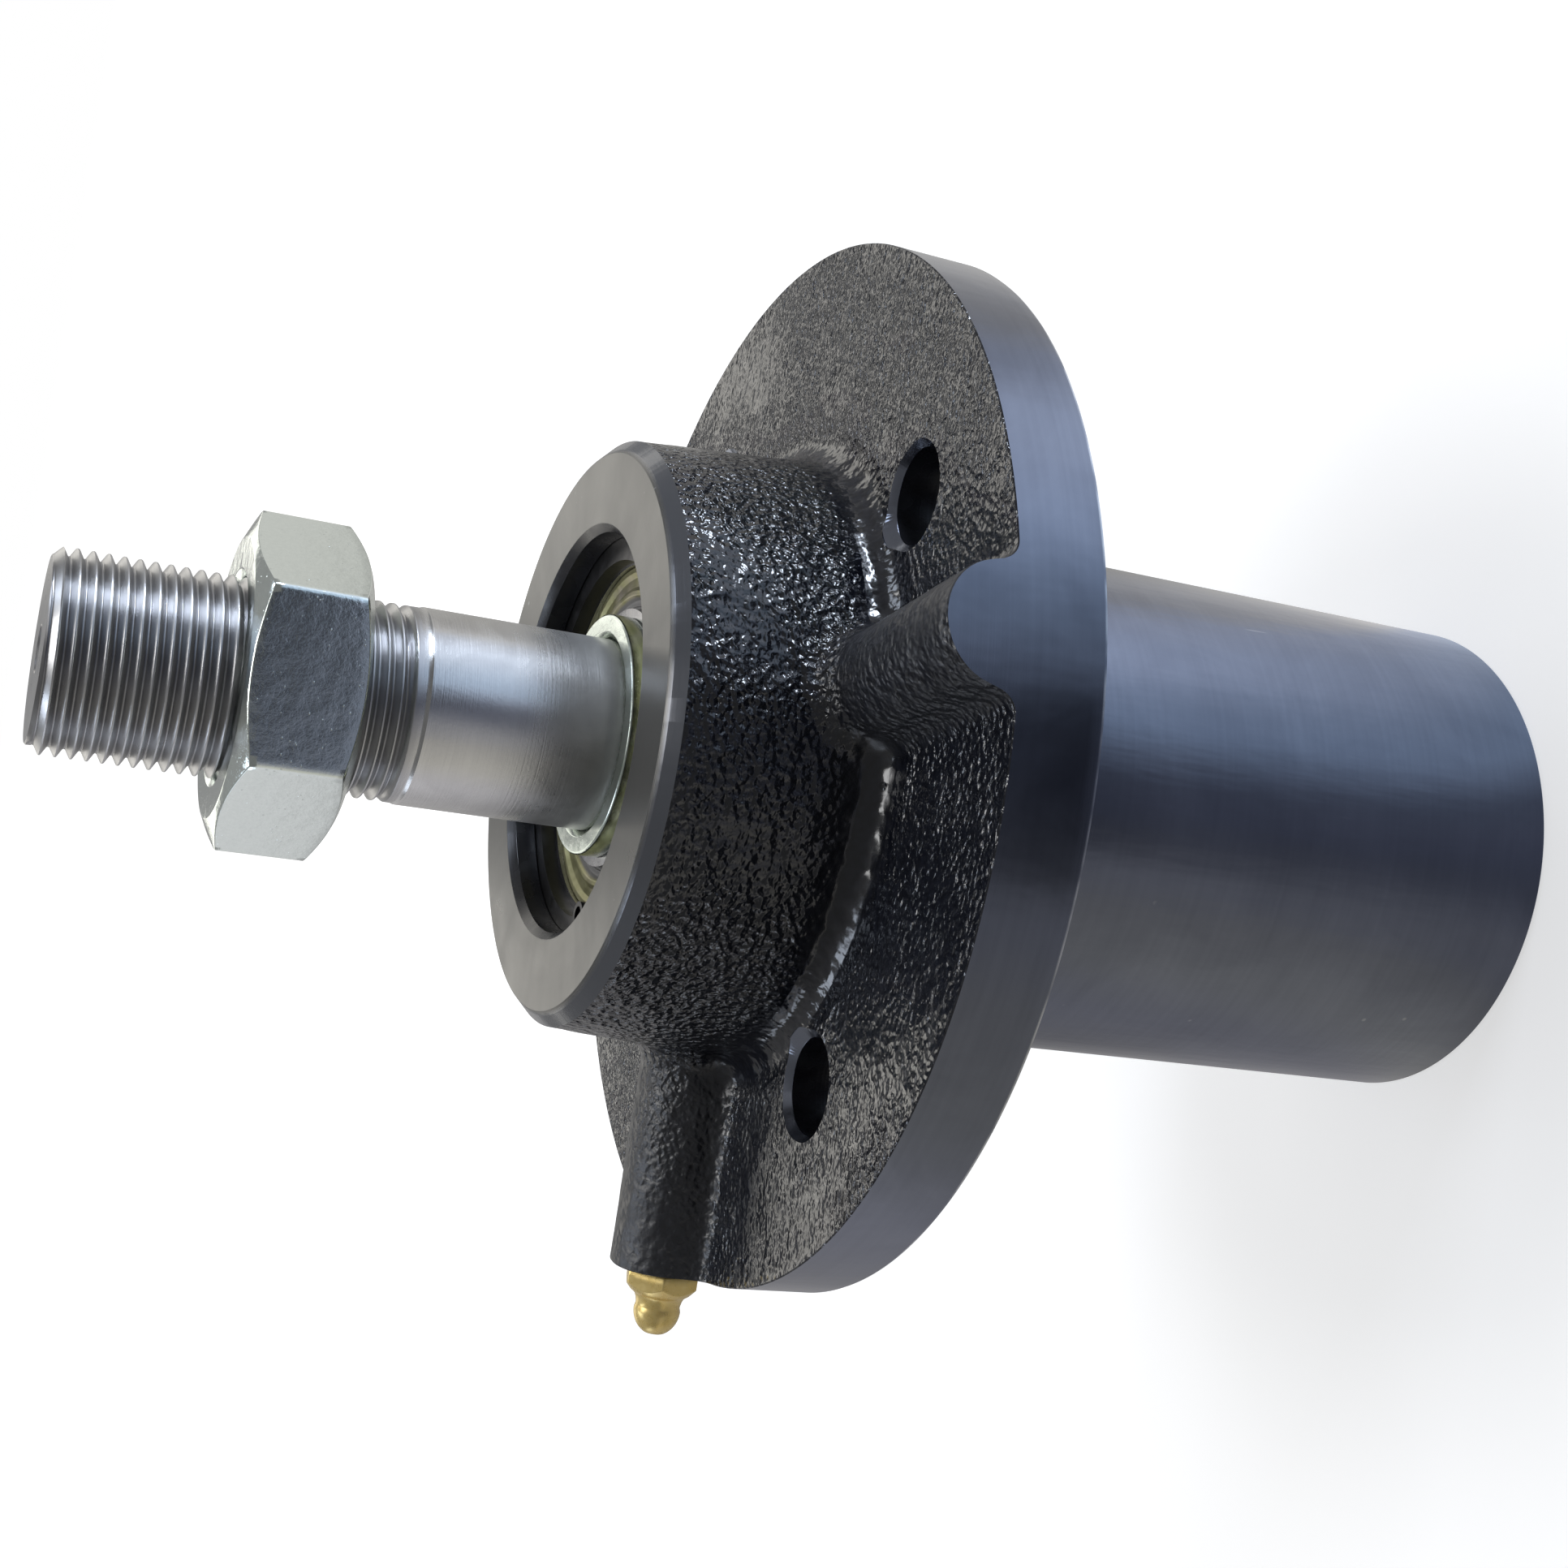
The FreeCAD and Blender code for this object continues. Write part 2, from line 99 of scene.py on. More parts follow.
# Shaft
SHAFT_R = 12.7
SHAFT_TOP = 104.8
HEAD_R = 17.0
HEAD_RECESS = 0.8
BLADE_HOLE_R = 7.15
THREAD_R = 12.55
THREAD_FOOT = 60.3
THREAD_LOW = THREAD_FOOT + 0.15
THREAD_CHAMFER = 1.2
PITCH = 1.814
THREAD_DEPTH = 0.6134 * PITCH


# Meshes

ROUND_STEPS = 3
BISECTIONS = 40
HEX_SHARPNESS = 90.0


def finish_mesh(obj, sharp_deg=35.0, weighted=True):
    """Smooth shading with sharp edges kept, and normals that follow the large faces."""
    bm = bmesh.new()
    bm.from_mesh(obj.data)
    limit = math.radians(sharp_deg)
    for face in bm.faces:
        face.smooth = True
    for edge in bm.edges:
        edge.smooth = edge.calc_face_angle(0.0) < limit
    bm.to_mesh(obj.data)
    bm.free()
    if weighted:
        modifier = obj.modifiers.new("weighted", "WEIGHTED_NORMAL")
        modifier.keep_sharp = True


def new_object(name, vertices, faces, materials, face_material=None, merge=True):
    """A mesh object from points in mm, its shared places merged and its faces turned outwards."""
    mesh = bpy.data.meshes.new(name)
    mesh.from_pydata((np.asarray(vertices, float) * MM).tolist(), [], faces)
    for material in materials:
        mesh.materials.append(material)
    if face_material is not None:
        mesh.polygons.foreach_set("material_index", np.asarray(face_material, np.int32))
    obj = bpy.data.objects.new(name, mesh)
    bpy.context.scene.collection.objects.link(obj)
    bm = bmesh.new()
    bm.from_mesh(mesh)
    if merge:
        bmesh.ops.remove_doubles(bm, verts=bm.verts, dist=1e-7)
        bmesh.ops.dissolve_degenerate(bm, edges=bm.edges, dist=1e-8)
    if bm.calc_volume(signed=True) < 0:
        bmesh.ops.reverse_faces(bm, faces=bm.faces)
    bm.to_mesh(mesh)
    bm.free()
    return obj


def grid_faces(rows, columns, close_rows=True):
    """Quads of a grid whose columns close on themselves, and its rows too if asked."""
    faces = []
    for i in range(rows if close_rows else rows - 1):
        a = i * columns
        b = (i + 1) % rows * columns
        faces += [(a + j, a + (j + 1) % columns, b + (j + 1) % columns, b + j) for j in range(columns)]
    return faces


def rounded(points):
    """A profile with its corners rounded where a point gives a third number, the radius."""
    out = []
    count = len(points)
    for i, point in enumerate(points):
        if len(point) == 2:
            out.append(point)
            continue
        here = np.array(point[:2])
        before = np.array(points[i - 1][:2]) - here
        after = np.array(points[(i + 1) % count][:2]) - here
        before /= np.linalg.norm(before)
        after /= np.linalg.norm(after)
        half = math.acos(np.clip(before @ after, -1, 1)) / 2
        reach = point[2] / math.tan(half)
        centre = here + (before + after) / np.linalg.norm(before + after) * point[2] / math.sin(half)
        start = here + before * reach - centre
        end = here + after * reach - centre
        turn = math.acos(np.clip(start @ end / point[2] ** 2, -1, 1))
        for k in range(ROUND_STEPS + 1):
            a = math.sin((1 - k / ROUND_STEPS) * turn) / math.sin(turn)
            b = math.sin(k / ROUND_STEPS * turn) / math.sin(turn)
            out.append(tuple(centre + start * a + end * b))
    return out


def polar_piece(name, angle, rows, materials, face_material=None):
    """A closed piece about Z from rows of (radius, level), each one number or one for every angle."""
    points = np.zeros((len(rows), len(angle), 3))
    for i, (r, z) in enumerate(rows):
        points[i, :, 0] = r * np.cos(angle)
        points[i, :, 1] = r * np.sin(angle)
        points[i, :, 2] = z
    faces = grid_faces(len(rows), len(angle))
    return new_object(name, points.reshape(-1, 3), faces, materials, face_material)


def lathe(name, profile, materials, columns, indexes=None):
    """A turned piece about Z, with a material's index for each row of the profile if asked."""
    angle = np.arange(columns) * 2 * np.pi / columns
    chosen = None if indexes is None else np.repeat(indexes, columns)
    return polar_piece(name, angle, profile, materials, chosen)


def hexagon_angles(corner_deg):
    """Columns for a hexagon, close together at its corners."""
    close = np.array([0.3, 0.6, 1.0, 1.5, 2.2])
    offsets = np.concatenate([np.linspace(-27, 27, 19), -close, close])
    turns = np.concatenate([corner_deg + 60 * k + offsets for k in range(6)])
    return np.radians(np.unique(turns.round(4) % 360))


def hexagon_wall(angle, across_flats, corner_deg):
    """Radius of a hexagon at each angle, its corners slightly worn round."""
    total = np.zeros_like(angle)
    for k in range(6):
        flat = math.radians(corner_deg + 30 + 60 * k)
        total += np.maximum(np.cos(angle - flat), 0.0) ** HEX_SHARPNESS
    return across_flats / 2 * total ** (-1.0 / HEX_SHARPNESS)


def mirror_down(profile):
    """An upper profile as it runs in the lower half of the bore."""
    return [(p[0], 2 * BORE_MIDDLE - p[1]) + tuple(p[2:]) for p in reversed(profile)]


def shift(obj, matrix):
    """Moves the points of a mesh, so the object itself stays at the origin."""
    obj.data.transform(matrix)
    return obj


def adopt(obj, body, slot, *nodes):
    """Makes the piece move with its body and stand for the model's nodes."""
    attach(obj, body)
    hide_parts(*nodes)
    return obj


def wave_noise(points, wavelength, count, seed):
    """Noise for real displacement: a sum of plane waves, the same on every run."""
    random = np.random.default_rng(seed)
    direction = random.normal(size=(count, 3))
    direction /= np.linalg.norm(direction, axis=1)[:, None]
    size = 2 * np.pi / (wavelength * random.uniform(0.75, 1.35, count))
    phase = random.uniform(0, 2 * np.pi, count)
    total = np.zeros(len(points))
    for k in range(count):
        total += np.sin(points @ (direction[k] * size[k]) + phase[k])
    return total / math.sqrt(count / 2)


# The casting's outside, as a rounded union of boss, flange and ribs

HOUSING_COLUMNS = 620
CAST_ROWS = 104
RAYS = 500
FAN = (30.0, 4.0)  # radius and level that the cast skin's rows fan out from
FLANK = math.radians(9)
FLANK_SPREAD = math.radians(5)
FLANK_WEIGHT = 1.6
# Height, wavelength, number of waves and seed
SKIN_WAVES = ((0.012, 2.6, 70, 3), (0.022, 6.5, 40, 5), (0.06, 24.0, 24, 9))
FADE_AT_BOSS = 0.05
FADE_AT_RIM = 0.03
CAST, TURNED, BORE = range(3)  # the housing's material slots


def round_union(a, b, radius):
    """Distance outside two shapes together, with a fillet where they meet."""
    u = np.maximum(radius - a, 0)
    v = np.maximum(radius - b, 0)
    return np.maximum(radius, np.minimum(a, b)) - np.sqrt(u * u + v * v)


def casting_field(r, angle, z):
    """Distance outside the casting's unmachined skin, in mm."""
    top_r = BOSS_FACE_R + BOSS_CHAMFER
    wall = (r - top_r - (BOSS_FACE - BOSS_CHAMFER - z) * math.tan(DRAFT)) * math.cos(DRAFT)
    field = round_union(wall, z - FLANGE_FRONT, FILLET)
    for rib_deg, radius in RIBS:
        turn = angle - math.radians(rib_deg)
        across = r * np.sin(turn)
        rib = np.hypot(across, z - RIB_AXIS) - radius
        rib = np.where(np.cos(turn) > 0.5, rib, 50.0)
        field = round_union(field, rib, CROWN_FILLET)
    return field


def bisect(function, low, high):
    """Where a rising function crosses zero, for arrays of limits."""
    for _ in range(BISECTIONS):
        middle = (low + high) / 2
        inside = function(middle) < 0
        low = np.where(inside, middle, low)
        high = np.where(inside, high, middle)
    return (low + high) / 2


def housing_columns():
    """Angles of the mesh's columns, closer together on the flanks of the ribs."""
    even = np.linspace(0, 2 * np.pi, 7200, endpoint=False)
    weight = np.ones_like(even)
    for rib_deg, _ in RIBS:
        turn = np.angle(np.exp(1j * (even - math.radians(rib_deg))))
        weight += FLANK_WEIGHT * np.exp(-((np.abs(turn) - FLANK) / FLANK_SPREAD) ** 2)
    total = np.concatenate([[0], np.cumsum(weight)])
    targets = np.linspace(0, total[-1], HOUSING_COLUMNS, endpoint=False)
    return np.interp(targets, total, np.append(even, 2 * np.pi))


def cast_skin(angle):
    """Rows of points from the boss's chamfer to the rim: array of rows, columns, (r, z)."""
    edge_r = RIM - RIM_EDGE
    lowest, highest = np.full_like(angle, 5.0), np.full_like(angle, 30.0)
    rim_z = bisect(lambda z: casting_field(edge_r, angle, z), lowest, highest)
    start = (BOSS_FACE_R + BOSS_CHAMFER, BOSS_FACE - BOSS_CHAMFER)
    first = math.atan2(start[1] - FAN[1], start[0] - FAN[0])
    last = np.arctan2(rim_z - FAN[1], edge_r - FAN[0])
    share = np.linspace(0, 1, RAYS)[:, None]
    lean = first + (last - first) * share
    column = np.broadcast_to(angle, lean.shape)

    def along(t):
        return casting_field(FAN[0] + t * np.cos(lean), column, FAN[1] + t * np.sin(lean))

    reach = bisect(along, np.full(lean.shape, 2.0), np.full(lean.shape, 90.0))
    r = FAN[0] + reach * np.cos(lean)
    z = FAN[1] + reach * np.sin(lean)
    out = np.zeros((CAST_ROWS, len(angle), 2))
    for j in range(len(angle)):
        step = np.hypot(np.diff(r[:, j]), np.diff(z[:, j]))
        length = np.concatenate([[0], np.cumsum(step)])
        target = np.linspace(0, length[-1], CAST_ROWS)
        out[:, j, 0] = np.interp(target, length, r[:, j])
        out[:, j, 1] = np.interp(target, length, z[:, j])
    return out, rim_z


def roughen(points):
    """Presses the sand mould's uneven skin into a grid of points, fading out at the turned edges."""
    rows = np.gradient(points, axis=0)
    columns = (np.roll(points, -1, axis=1) - np.roll(points, 1, axis=1)) / 2
    normal = np.cross(rows, columns)
    normal /= np.linalg.norm(normal, axis=2)[..., None]
    if normal[0, 0] @ np.array([1.0, 0, 0]) < 0:
        normal = -normal
    flat = points.reshape(-1, 3)
    height = sum(size * wave_noise(flat, *wave) for size, *wave in SKIN_WAVES).reshape(points.shape[:2])
    share = np.linspace(0, 1, points.shape[0])
    fade = np.clip(np.minimum(share / FADE_AT_BOSS, (1 - share) / FADE_AT_RIM), 0, 1)
    return points + normal * (height * fade[:, None])[..., None]


def bore_profile():
    """The bore from the lower mouth to the upper one, sharp inside."""
    upper = [
        (SHOULDER_R, SHOULDER_LOW), (SHOULDER_R, SHOULDER_TOP), (SEAT_R, SHOULDER_TOP), (SEAT_R, BEARING_TOP),
        (GROOVE_R, BEARING_TOP), (GROOVE_R, GROOVE_TOP), (MOUTH_R, GROOVE_TOP),
        (MOUTH_R, BOSS_FACE - MOUTH_CHAMFER, 0.15), (MOUTH_R + MOUTH_CHAMFER, BOSS_FACE, 0.15),
    ]
    cavity = [(CAVITY_R, CAVITY_TOP)]
    return mirror_down(upper) + mirror_down(cavity) + cavity + upper


def grease_axis():
    """From an axis along Z to the grease passage, which runs out through its rib."""
    level = Matrix.Translation((0, 0, GREASE_LEVEL * MM))
    return level @ Matrix.Rotation(GREASE_ANGLE, 4, "Z") @ Matrix.Rotation(math.pi / 2, 4, "Y")


def housing_drills(materials):
    """The shapes of the four bolt holes, countersunk in front, and of the grease passage."""
    drills = []
    hole = rounded([
        (0, -2.0), (BOLT_R, -2.0), (BOLT_R, 10.25, 0.15), (BOLT_R + 1.4, 11.65), (BOLT_R + 1.4, 16.0),
        (0, 16.0),
    ])
    for k, (x, y) in enumerate(BOLTS):
        indexes = [TURNED, BORE] + [TURNED] * (len(hole) - 2)
        drill = lathe("drill_%d" % k, hole, materials, 96, indexes)
        drill.location = (x * MM, y * MM, 0)
        drills.append(drill)
    passage = [(0, 12.0), (2.5, 12.0), (2.5, 63.2), (4.02, 63.2), (4.02, 72.0), (0, 72.0)]
    drill = lathe("drill_grease", passage, materials, 64, [TURNED] * len(passage))
    drill.matrix_world = grease_axis()
    return drills + [drill]


def housing_mesh(materials):
    """The housing in one piece: cast skin, rim, turned faces and bore, with its holes drilled."""
    angle = housing_columns()
    skin, rim_z = cast_skin(angle)
    cos, sin = np.cos(angle), np.sin(angle)
    cast = roughen(np.dstack([skin[..., 0] * cos, skin[..., 0] * sin, skin[..., 1]]))
    top = rim_z - RIM_EDGE
    rim = [(RIM, top + (RIM_FOOT - top) * share) for share in (0.0, 0.15, 0.5, 0.85, 1.0)]
    turned = [
        (RIM - RIM_EDGE, 0.1), (RIM - 0.5, 0.0), (55.0, 0.0), (BARREL_R + 0.5, 0.0), (BARREL_R, -0.05),
        (BARREL_R, -30.0), (BARREL_R, -62.0), (BARREL_R, BARREL_END + BARREL_CHAMFER, 0.4),
        (BARREL_R - BARREL_CHAMFER, BARREL_END, 0.4), (30.0, BARREL_END),
    ]
    face = [(32.0, BOSS_FACE), (BOSS_FACE_R, BOSS_FACE, 0.2), (38.55, 36.55)]
    # the cast skin has the last point already, which here only steers the rounding before it
    body = rounded(turned + bore_profile() + face)[:-1]
    rest = [np.stack([r * cos, r * sin, np.full_like(cos, 1.0) * z], axis=1) for r, z in rim + body]
    points = np.concatenate([cast, np.array(rest)])
    count = len(points)
    # each rounded corner has ROUND_STEPS rows more, and the barrel's end face is as dark as the bore
    bore_from = CAST_ROWS + len(rim) + len(turned) + 2 * ROUND_STEPS - 2
    bore_to = count - 2 * ROUND_STEPS - 2
    index = np.full(count, TURNED)
    index[:CAST_ROWS] = CAST
    index[bore_from:bore_to] = BORE
    faces = grid_faces(count, len(angle))
    face_material = np.repeat(index, len(angle))
    obj = new_object("housing_body", points.reshape(-1, 3), faces, materials, face_material, merge=False)
    drills = housing_drills(materials)
    bpy.context.view_layer.update()
    for drill in drills:
        modifier = obj.modifiers.new("drill", "BOOLEAN")
        modifier.operation = "DIFFERENCE"
        modifier.solver = "MANIFOLD"
        modifier.object = drill
    depsgraph = bpy.context.evaluated_depsgraph_get()
    mesh = bpy.data.meshes.new_from_object(obj.evaluated_get(depsgraph))
    obj.modifiers.clear()
    obj.data = mesh
    for drill in drills:
        bpy.data.objects.remove(drill)
    finish_mesh(obj)
    return obj


# The shaft, with its thread cut as a helix

SHAFT_COLUMNS = 96
RUN_OUT_FROM = 0.9
RUN_OUT = 1.6
# One pitch of the thread from crest to crest: the share of the pitch and of the depth
THREAD_FORM = (
    (-0.05, 0.0), (0.05, 0.0), (0.085, 0.05), (0.40, 0.93),
    (0.46, 1.0), (0.54, 1.0), (0.60, 0.93), (0.915, 0.05),
)


def thread_helix():
    """Points and quads of the thread, each turn stitched to the next and flattened at both ends."""
    turns = int((SHAFT_TOP - THREAD_FOOT) / PITCH) + 3
    steps = turns * SHAFT_COLUMNS
    share, depth = np.array(THREAD_FORM).T
    i = np.arange(steps + 1)[:, None]
    angle = 2 * np.pi * i / SHAFT_COLUMNS
    z = THREAD_FOOT - PITCH + PITCH * (i / SHAFT_COLUMNS + share)
    z = np.clip(z, THREAD_LOW, SHAFT_TOP)
    fade = np.clip((z - THREAD_LOW - RUN_OUT_FROM) / RUN_OUT, 0, 1)
    r = THREAD_R - THREAD_DEPTH * depth * fade
    r = np.minimum(r, THREAD_R - THREAD_CHAMFER + (SHAFT_TOP - z))
    points = np.dstack([r * np.cos(angle), r * np.sin(angle), z]).reshape(-1, 3)
    n = len(THREAD_FORM)
    faces = []
    for a in range(steps):
        for j in range(n):
            if j < n - 1:
                quad = (a * n + j, (a + 1) * n + j, (a + 1) * n + j + 1, a * n + j + 1)
            elif a + 1 + SHAFT_COLUMNS <= steps:
                quad = (a * n + j, (a + 1) * n + j, (a + 1 + SHAFT_COLUMNS) * n, (a + SHAFT_COLUMNS) * n)
            else:
                continue
            levels = [points[q, 2] for q in quad]
            if max(levels) - min(levels) > 1e-6:
                faces.append(quad)
    return points, faces


def shaft_mesh(material):
    """The shaft in one piece: thread, body, head with the blade's hole, and the centre mark on top."""
    points, faces = thread_helix()
    bottom = BARREL_END + HEAD_RECESS
    shoulder = 2 * BORE_MIDDLE - BEARING_TOP
    body = rounded([
        (0, -51.2), (BLADE_HOLE_R, -55.5), (BLADE_HOLE_R, -90.0), (BLADE_HOLE_R, bottom + 1.0),
        (BLADE_HOLE_R + 1.0, bottom, 0.15), (HEAD_R - 0.8, bottom, 0.3), (HEAD_R, bottom + 0.8, 0.3),
        (HEAD_R, shoulder, 0.2), (SHAFT_R, shoulder), (SHAFT_R, -20.0), (SHAFT_R, 32.0), (SHAFT_R, 50.0),
        (SHAFT_R, THREAD_FOOT - 0.3, 0.15), (THREAD_R, THREAD_LOW),
    ])
    top = [(THREAD_R - THREAD_CHAMFER, SHAFT_TOP), (3.0, SHAFT_TOP), (0, SHAFT_TOP - 5.2)]
    turn = 2 * np.pi * np.arange(SHAFT_COLUMNS) / SHAFT_COLUMNS
    for profile in (body, top):
        start = len(points)
        rows = [(r * math.cos(t), r * math.sin(t), z) for r, z in profile for t in turn]
        points = np.concatenate([points, rows])
        # these quads run the other way round from the helix's
        quads = grid_faces(len(profile), SHAFT_COLUMNS, close_rows=False)
        faces += [tuple(q + start for q in quad)[::-1] for quad in quads]
    obj = new_object("shaft_body", points, faces, [material])
    bm = bmesh.new()
    bm.from_mesh(obj.data)
    bmesh.ops.recalc_face_normals(bm, faces=bm.faces)
    bmesh.ops.delete(bm, geom=[v for v in bm.verts if not v.link_faces], context="VERTS")
    bm.to_mesh(obj.data)
    bm.free()
    finish_mesh(obj, 40.0, False)
    return obj


# The nut, washer, seals and grease fitting

NUT_LOW = 68.55
NUT_TOP = 82.85
NUT_FLATS = 37.0
NUT_CORNER_DEG = 7.0
NUT_FACE_R = 17.6
NUT_SLOPE = math.tan(math.radians(25.0))
NUT_EDGE = 0.16
WASHER_R = 16.0
WASHER_THICKNESS = 3.0
SEAL_R = 23.08
SEAL_LIP_R = 17.25
SEAL_THICKNESS = 1.4


def nut_mesh(material):
    """A hexagon nut with a chamfer on both faces and slightly worn edges."""
    angle = hexagon_angles(NUT_CORNER_DEG)
    wall = hexagon_wall(angle, NUT_FLATS, NUT_CORNER_DEG)
    bore = THREAD_R + 0.05
    middle = (NUT_LOW + NUT_TOP) / 2
    upper = [
        (bore, NUT_TOP - 1.0), (bore + 0.9, NUT_TOP - 0.1), (bore + 1.12, NUT_TOP),
        (NUT_FACE_R - 0.15, NUT_TOP),
    ]
    reach = wall - NUT_EDGE - NUT_FACE_R - 0.1
    for share in (0.0, 0.35, 0.7):
        upper.append((NUT_FACE_R + 0.1 + reach * share, NUT_TOP - (0.1 + reach * share) * NUT_SLOPE))
    cone = NUT_TOP - (wall - NUT_FACE_R) * NUT_SLOPE
    upper += [
        (wall - NUT_EDGE, cone + NUT_EDGE * NUT_SLOPE), (wall - NUT_EDGE * 0.35, cone - NUT_EDGE * 0.1),
        (wall, cone - NUT_EDGE * 0.8), (wall, cone - 1.2),
    ]
    lower = [(r, 2 * middle - z) for r, z in reversed(upper)]
    obj = polar_piece("nut_body", angle, upper + [(wall, middle)] + lower + [(bore, middle)], [material])
    finish_mesh(obj, 60.0)
    return obj


def washer_mesh(material):
    """A flat washer with its upper bore edge chamfered."""
    low, top = BEARING_TOP, BEARING_TOP + WASHER_THICKNESS
    bore = SHAFT_R + 0.05
    profile = rounded([
        (bore, low), (WASHER_R, low, 0.35), (WASHER_R, top, 0.35), (bore + 0.9, top, 0.2), (bore, top - 0.9),
    ])
    obj = lathe("washer_body", profile, [material], 180)
    finish_mesh(obj, 50.0)
    return obj


def seal_mesh(name, material, lower):
    """Pressed shield with a rolled groove and a rubber lip that has a fine bead."""
    top = BEARING_TOP - 0.5
    low = top - SEAL_THICKNESS
    lip = top - 0.8
    groove = top - 0.42
    profile = rounded([
        (SEAL_LIP_R, low), (SEAL_LIP_R, lip, 0.12), (17.6, lip, 0.1), (17.75, lip + 0.18, 0.12),
        (18.05, lip + 0.05, 0.1), (18.5, lip, 0.2), (19.1, top - 0.02, 0.25), (19.7, top, 0.3),
        (20.3, groove, 0.3), (21.6, groove, 0.3), (22.2, top, 0.25), (SEAL_R, top, 0.3), (SEAL_R, low),
    ])
    obj = lathe(name, profile, [material], 200)
    if lower:
        shift(obj, Matrix.Translation((0, 0, 2 * BORE_MIDDLE * MM)) @ Matrix.Diagonal((1, 1, -1, 1)))
        obj.data.flip_normals()
    finish_mesh(obj, 50.0)
    return obj


FITTING_BASE = 70.4
FITTING_HEX = 9.4
FITTING_HEX_DEG = -13.0
FITTING_HEX_TOP = 3.1
FITTING_FACE_R = 4.1
FITTING_SLOPE = math.tan(math.radians(48.0))
FITTING_EDGE = 0.12
FITTING_LENGTH = 9.0
FITTING_TIP = FITTING_LENGTH - 0.3
DOME_R = 3.2
DOME_LEVEL = 5.6
DOME_LEAN = math.radians(62)
CHECK_R = 1.4  # the chamber of the check ball and its spring
CHECK_LOW = 0.5


def fitting_place():
    """From the fitting's own axis, built upwards along Z, to the end of the grease rib."""
    return grease_axis() @ Matrix.Translation((0, 0, FITTING_BASE * MM))


def fitting_mesh(material):
    """The grease fitting: thread blank, chamfered hexagon, neck and a dome with the ball's chamber inside."""
    angle = hexagon_angles(FITTING_HEX_DEG)
    wall = hexagon_wall(angle, FITTING_HEX, FITTING_HEX_DEG)
    edge, top = FITTING_EDGE, FITTING_HEX_TOP
    limit = top - (wall - FITTING_FACE_R) * FITTING_SLOPE
    rows = [(3.48, -6.5), (3.98, -6.0), (3.98, -0.02), (wall - edge, 0.0), (wall, edge)]
    rows += [(wall, edge + (limit - edge) * share) for share in (0.5, 0.94, 1.0)]
    for share in (0.1, 0.5, 0.9):
        rows.append((wall + (FITTING_FACE_R - wall) * share, limit + (top - limit) * share))
    rows += [
        (4.0, top + 0.04), (3.8, top + 0.16), (3.45, 3.6), (3.22, 4.1), (3.1, 4.6), (3.04, 4.95), (3.07, 5.1),
    ]
    for lean in np.linspace(0, DOME_LEAN, 18):
        rise = (FITTING_TIP - DOME_LEVEL) * math.sin(lean) / math.sin(DOME_LEAN)
        rows.append((DOME_R * math.cos(lean), DOME_LEVEL + rise))
    rows += [
        (1.05, FITTING_TIP), (0.92, FITTING_TIP - 0.12), (0.9, FITTING_LENGTH - 0.9),
        (CHECK_R, FITTING_LENGTH - 1.67), (CHECK_R, CHECK_LOW), (0.9, CHECK_LOW), (0.9, -6.5),
    ]
    obj = polar_piece("fitting_body", angle, rows, [material])
    hexagon = obj.vertex_groups.new(name="hexagon")
    hexagon.add([v.index for v in obj.data.vertices if v.co.z < top * MM], 1.0, "REPLACE")
    shift(obj, fitting_place())
    finish_mesh(obj, 50.0)
    obj.modifiers["weighted"].vertex_group = "hexagon"
    return obj


def spring_copy(material):
    """A copy of the model's check spring, with a material of its own; in the real fitting it shortens as the
    check ball is pushed in.
    """
    obj = bpy.data.objects.new("spring_body", NODES["check_spring"].data.copy())
    bpy.context.scene.collection.objects.link(obj)
    obj.data.materials.clear()
    obj.data.materials.append(material)
    return obj


def soften_edges(obj, width):
    """Breaks a model piece's sharp edges so that they catch the light."""
    modifier = obj.modifiers.new("edges", "BEVEL")
    modifier.width = width * MM
    modifier.segments = 2
    modifier.limit_method = "ANGLE"
    modifier.angle_limit = math.radians(40)
    modifier.harden_normals = True


# Materials: small helpers for node trees

SOCKETS = {
    "color": "Base Color",
    "rough": "Roughness",
    "metal": "Metallic",
    "normal": "Normal",
    "specular": "Specular IOR Level",
}


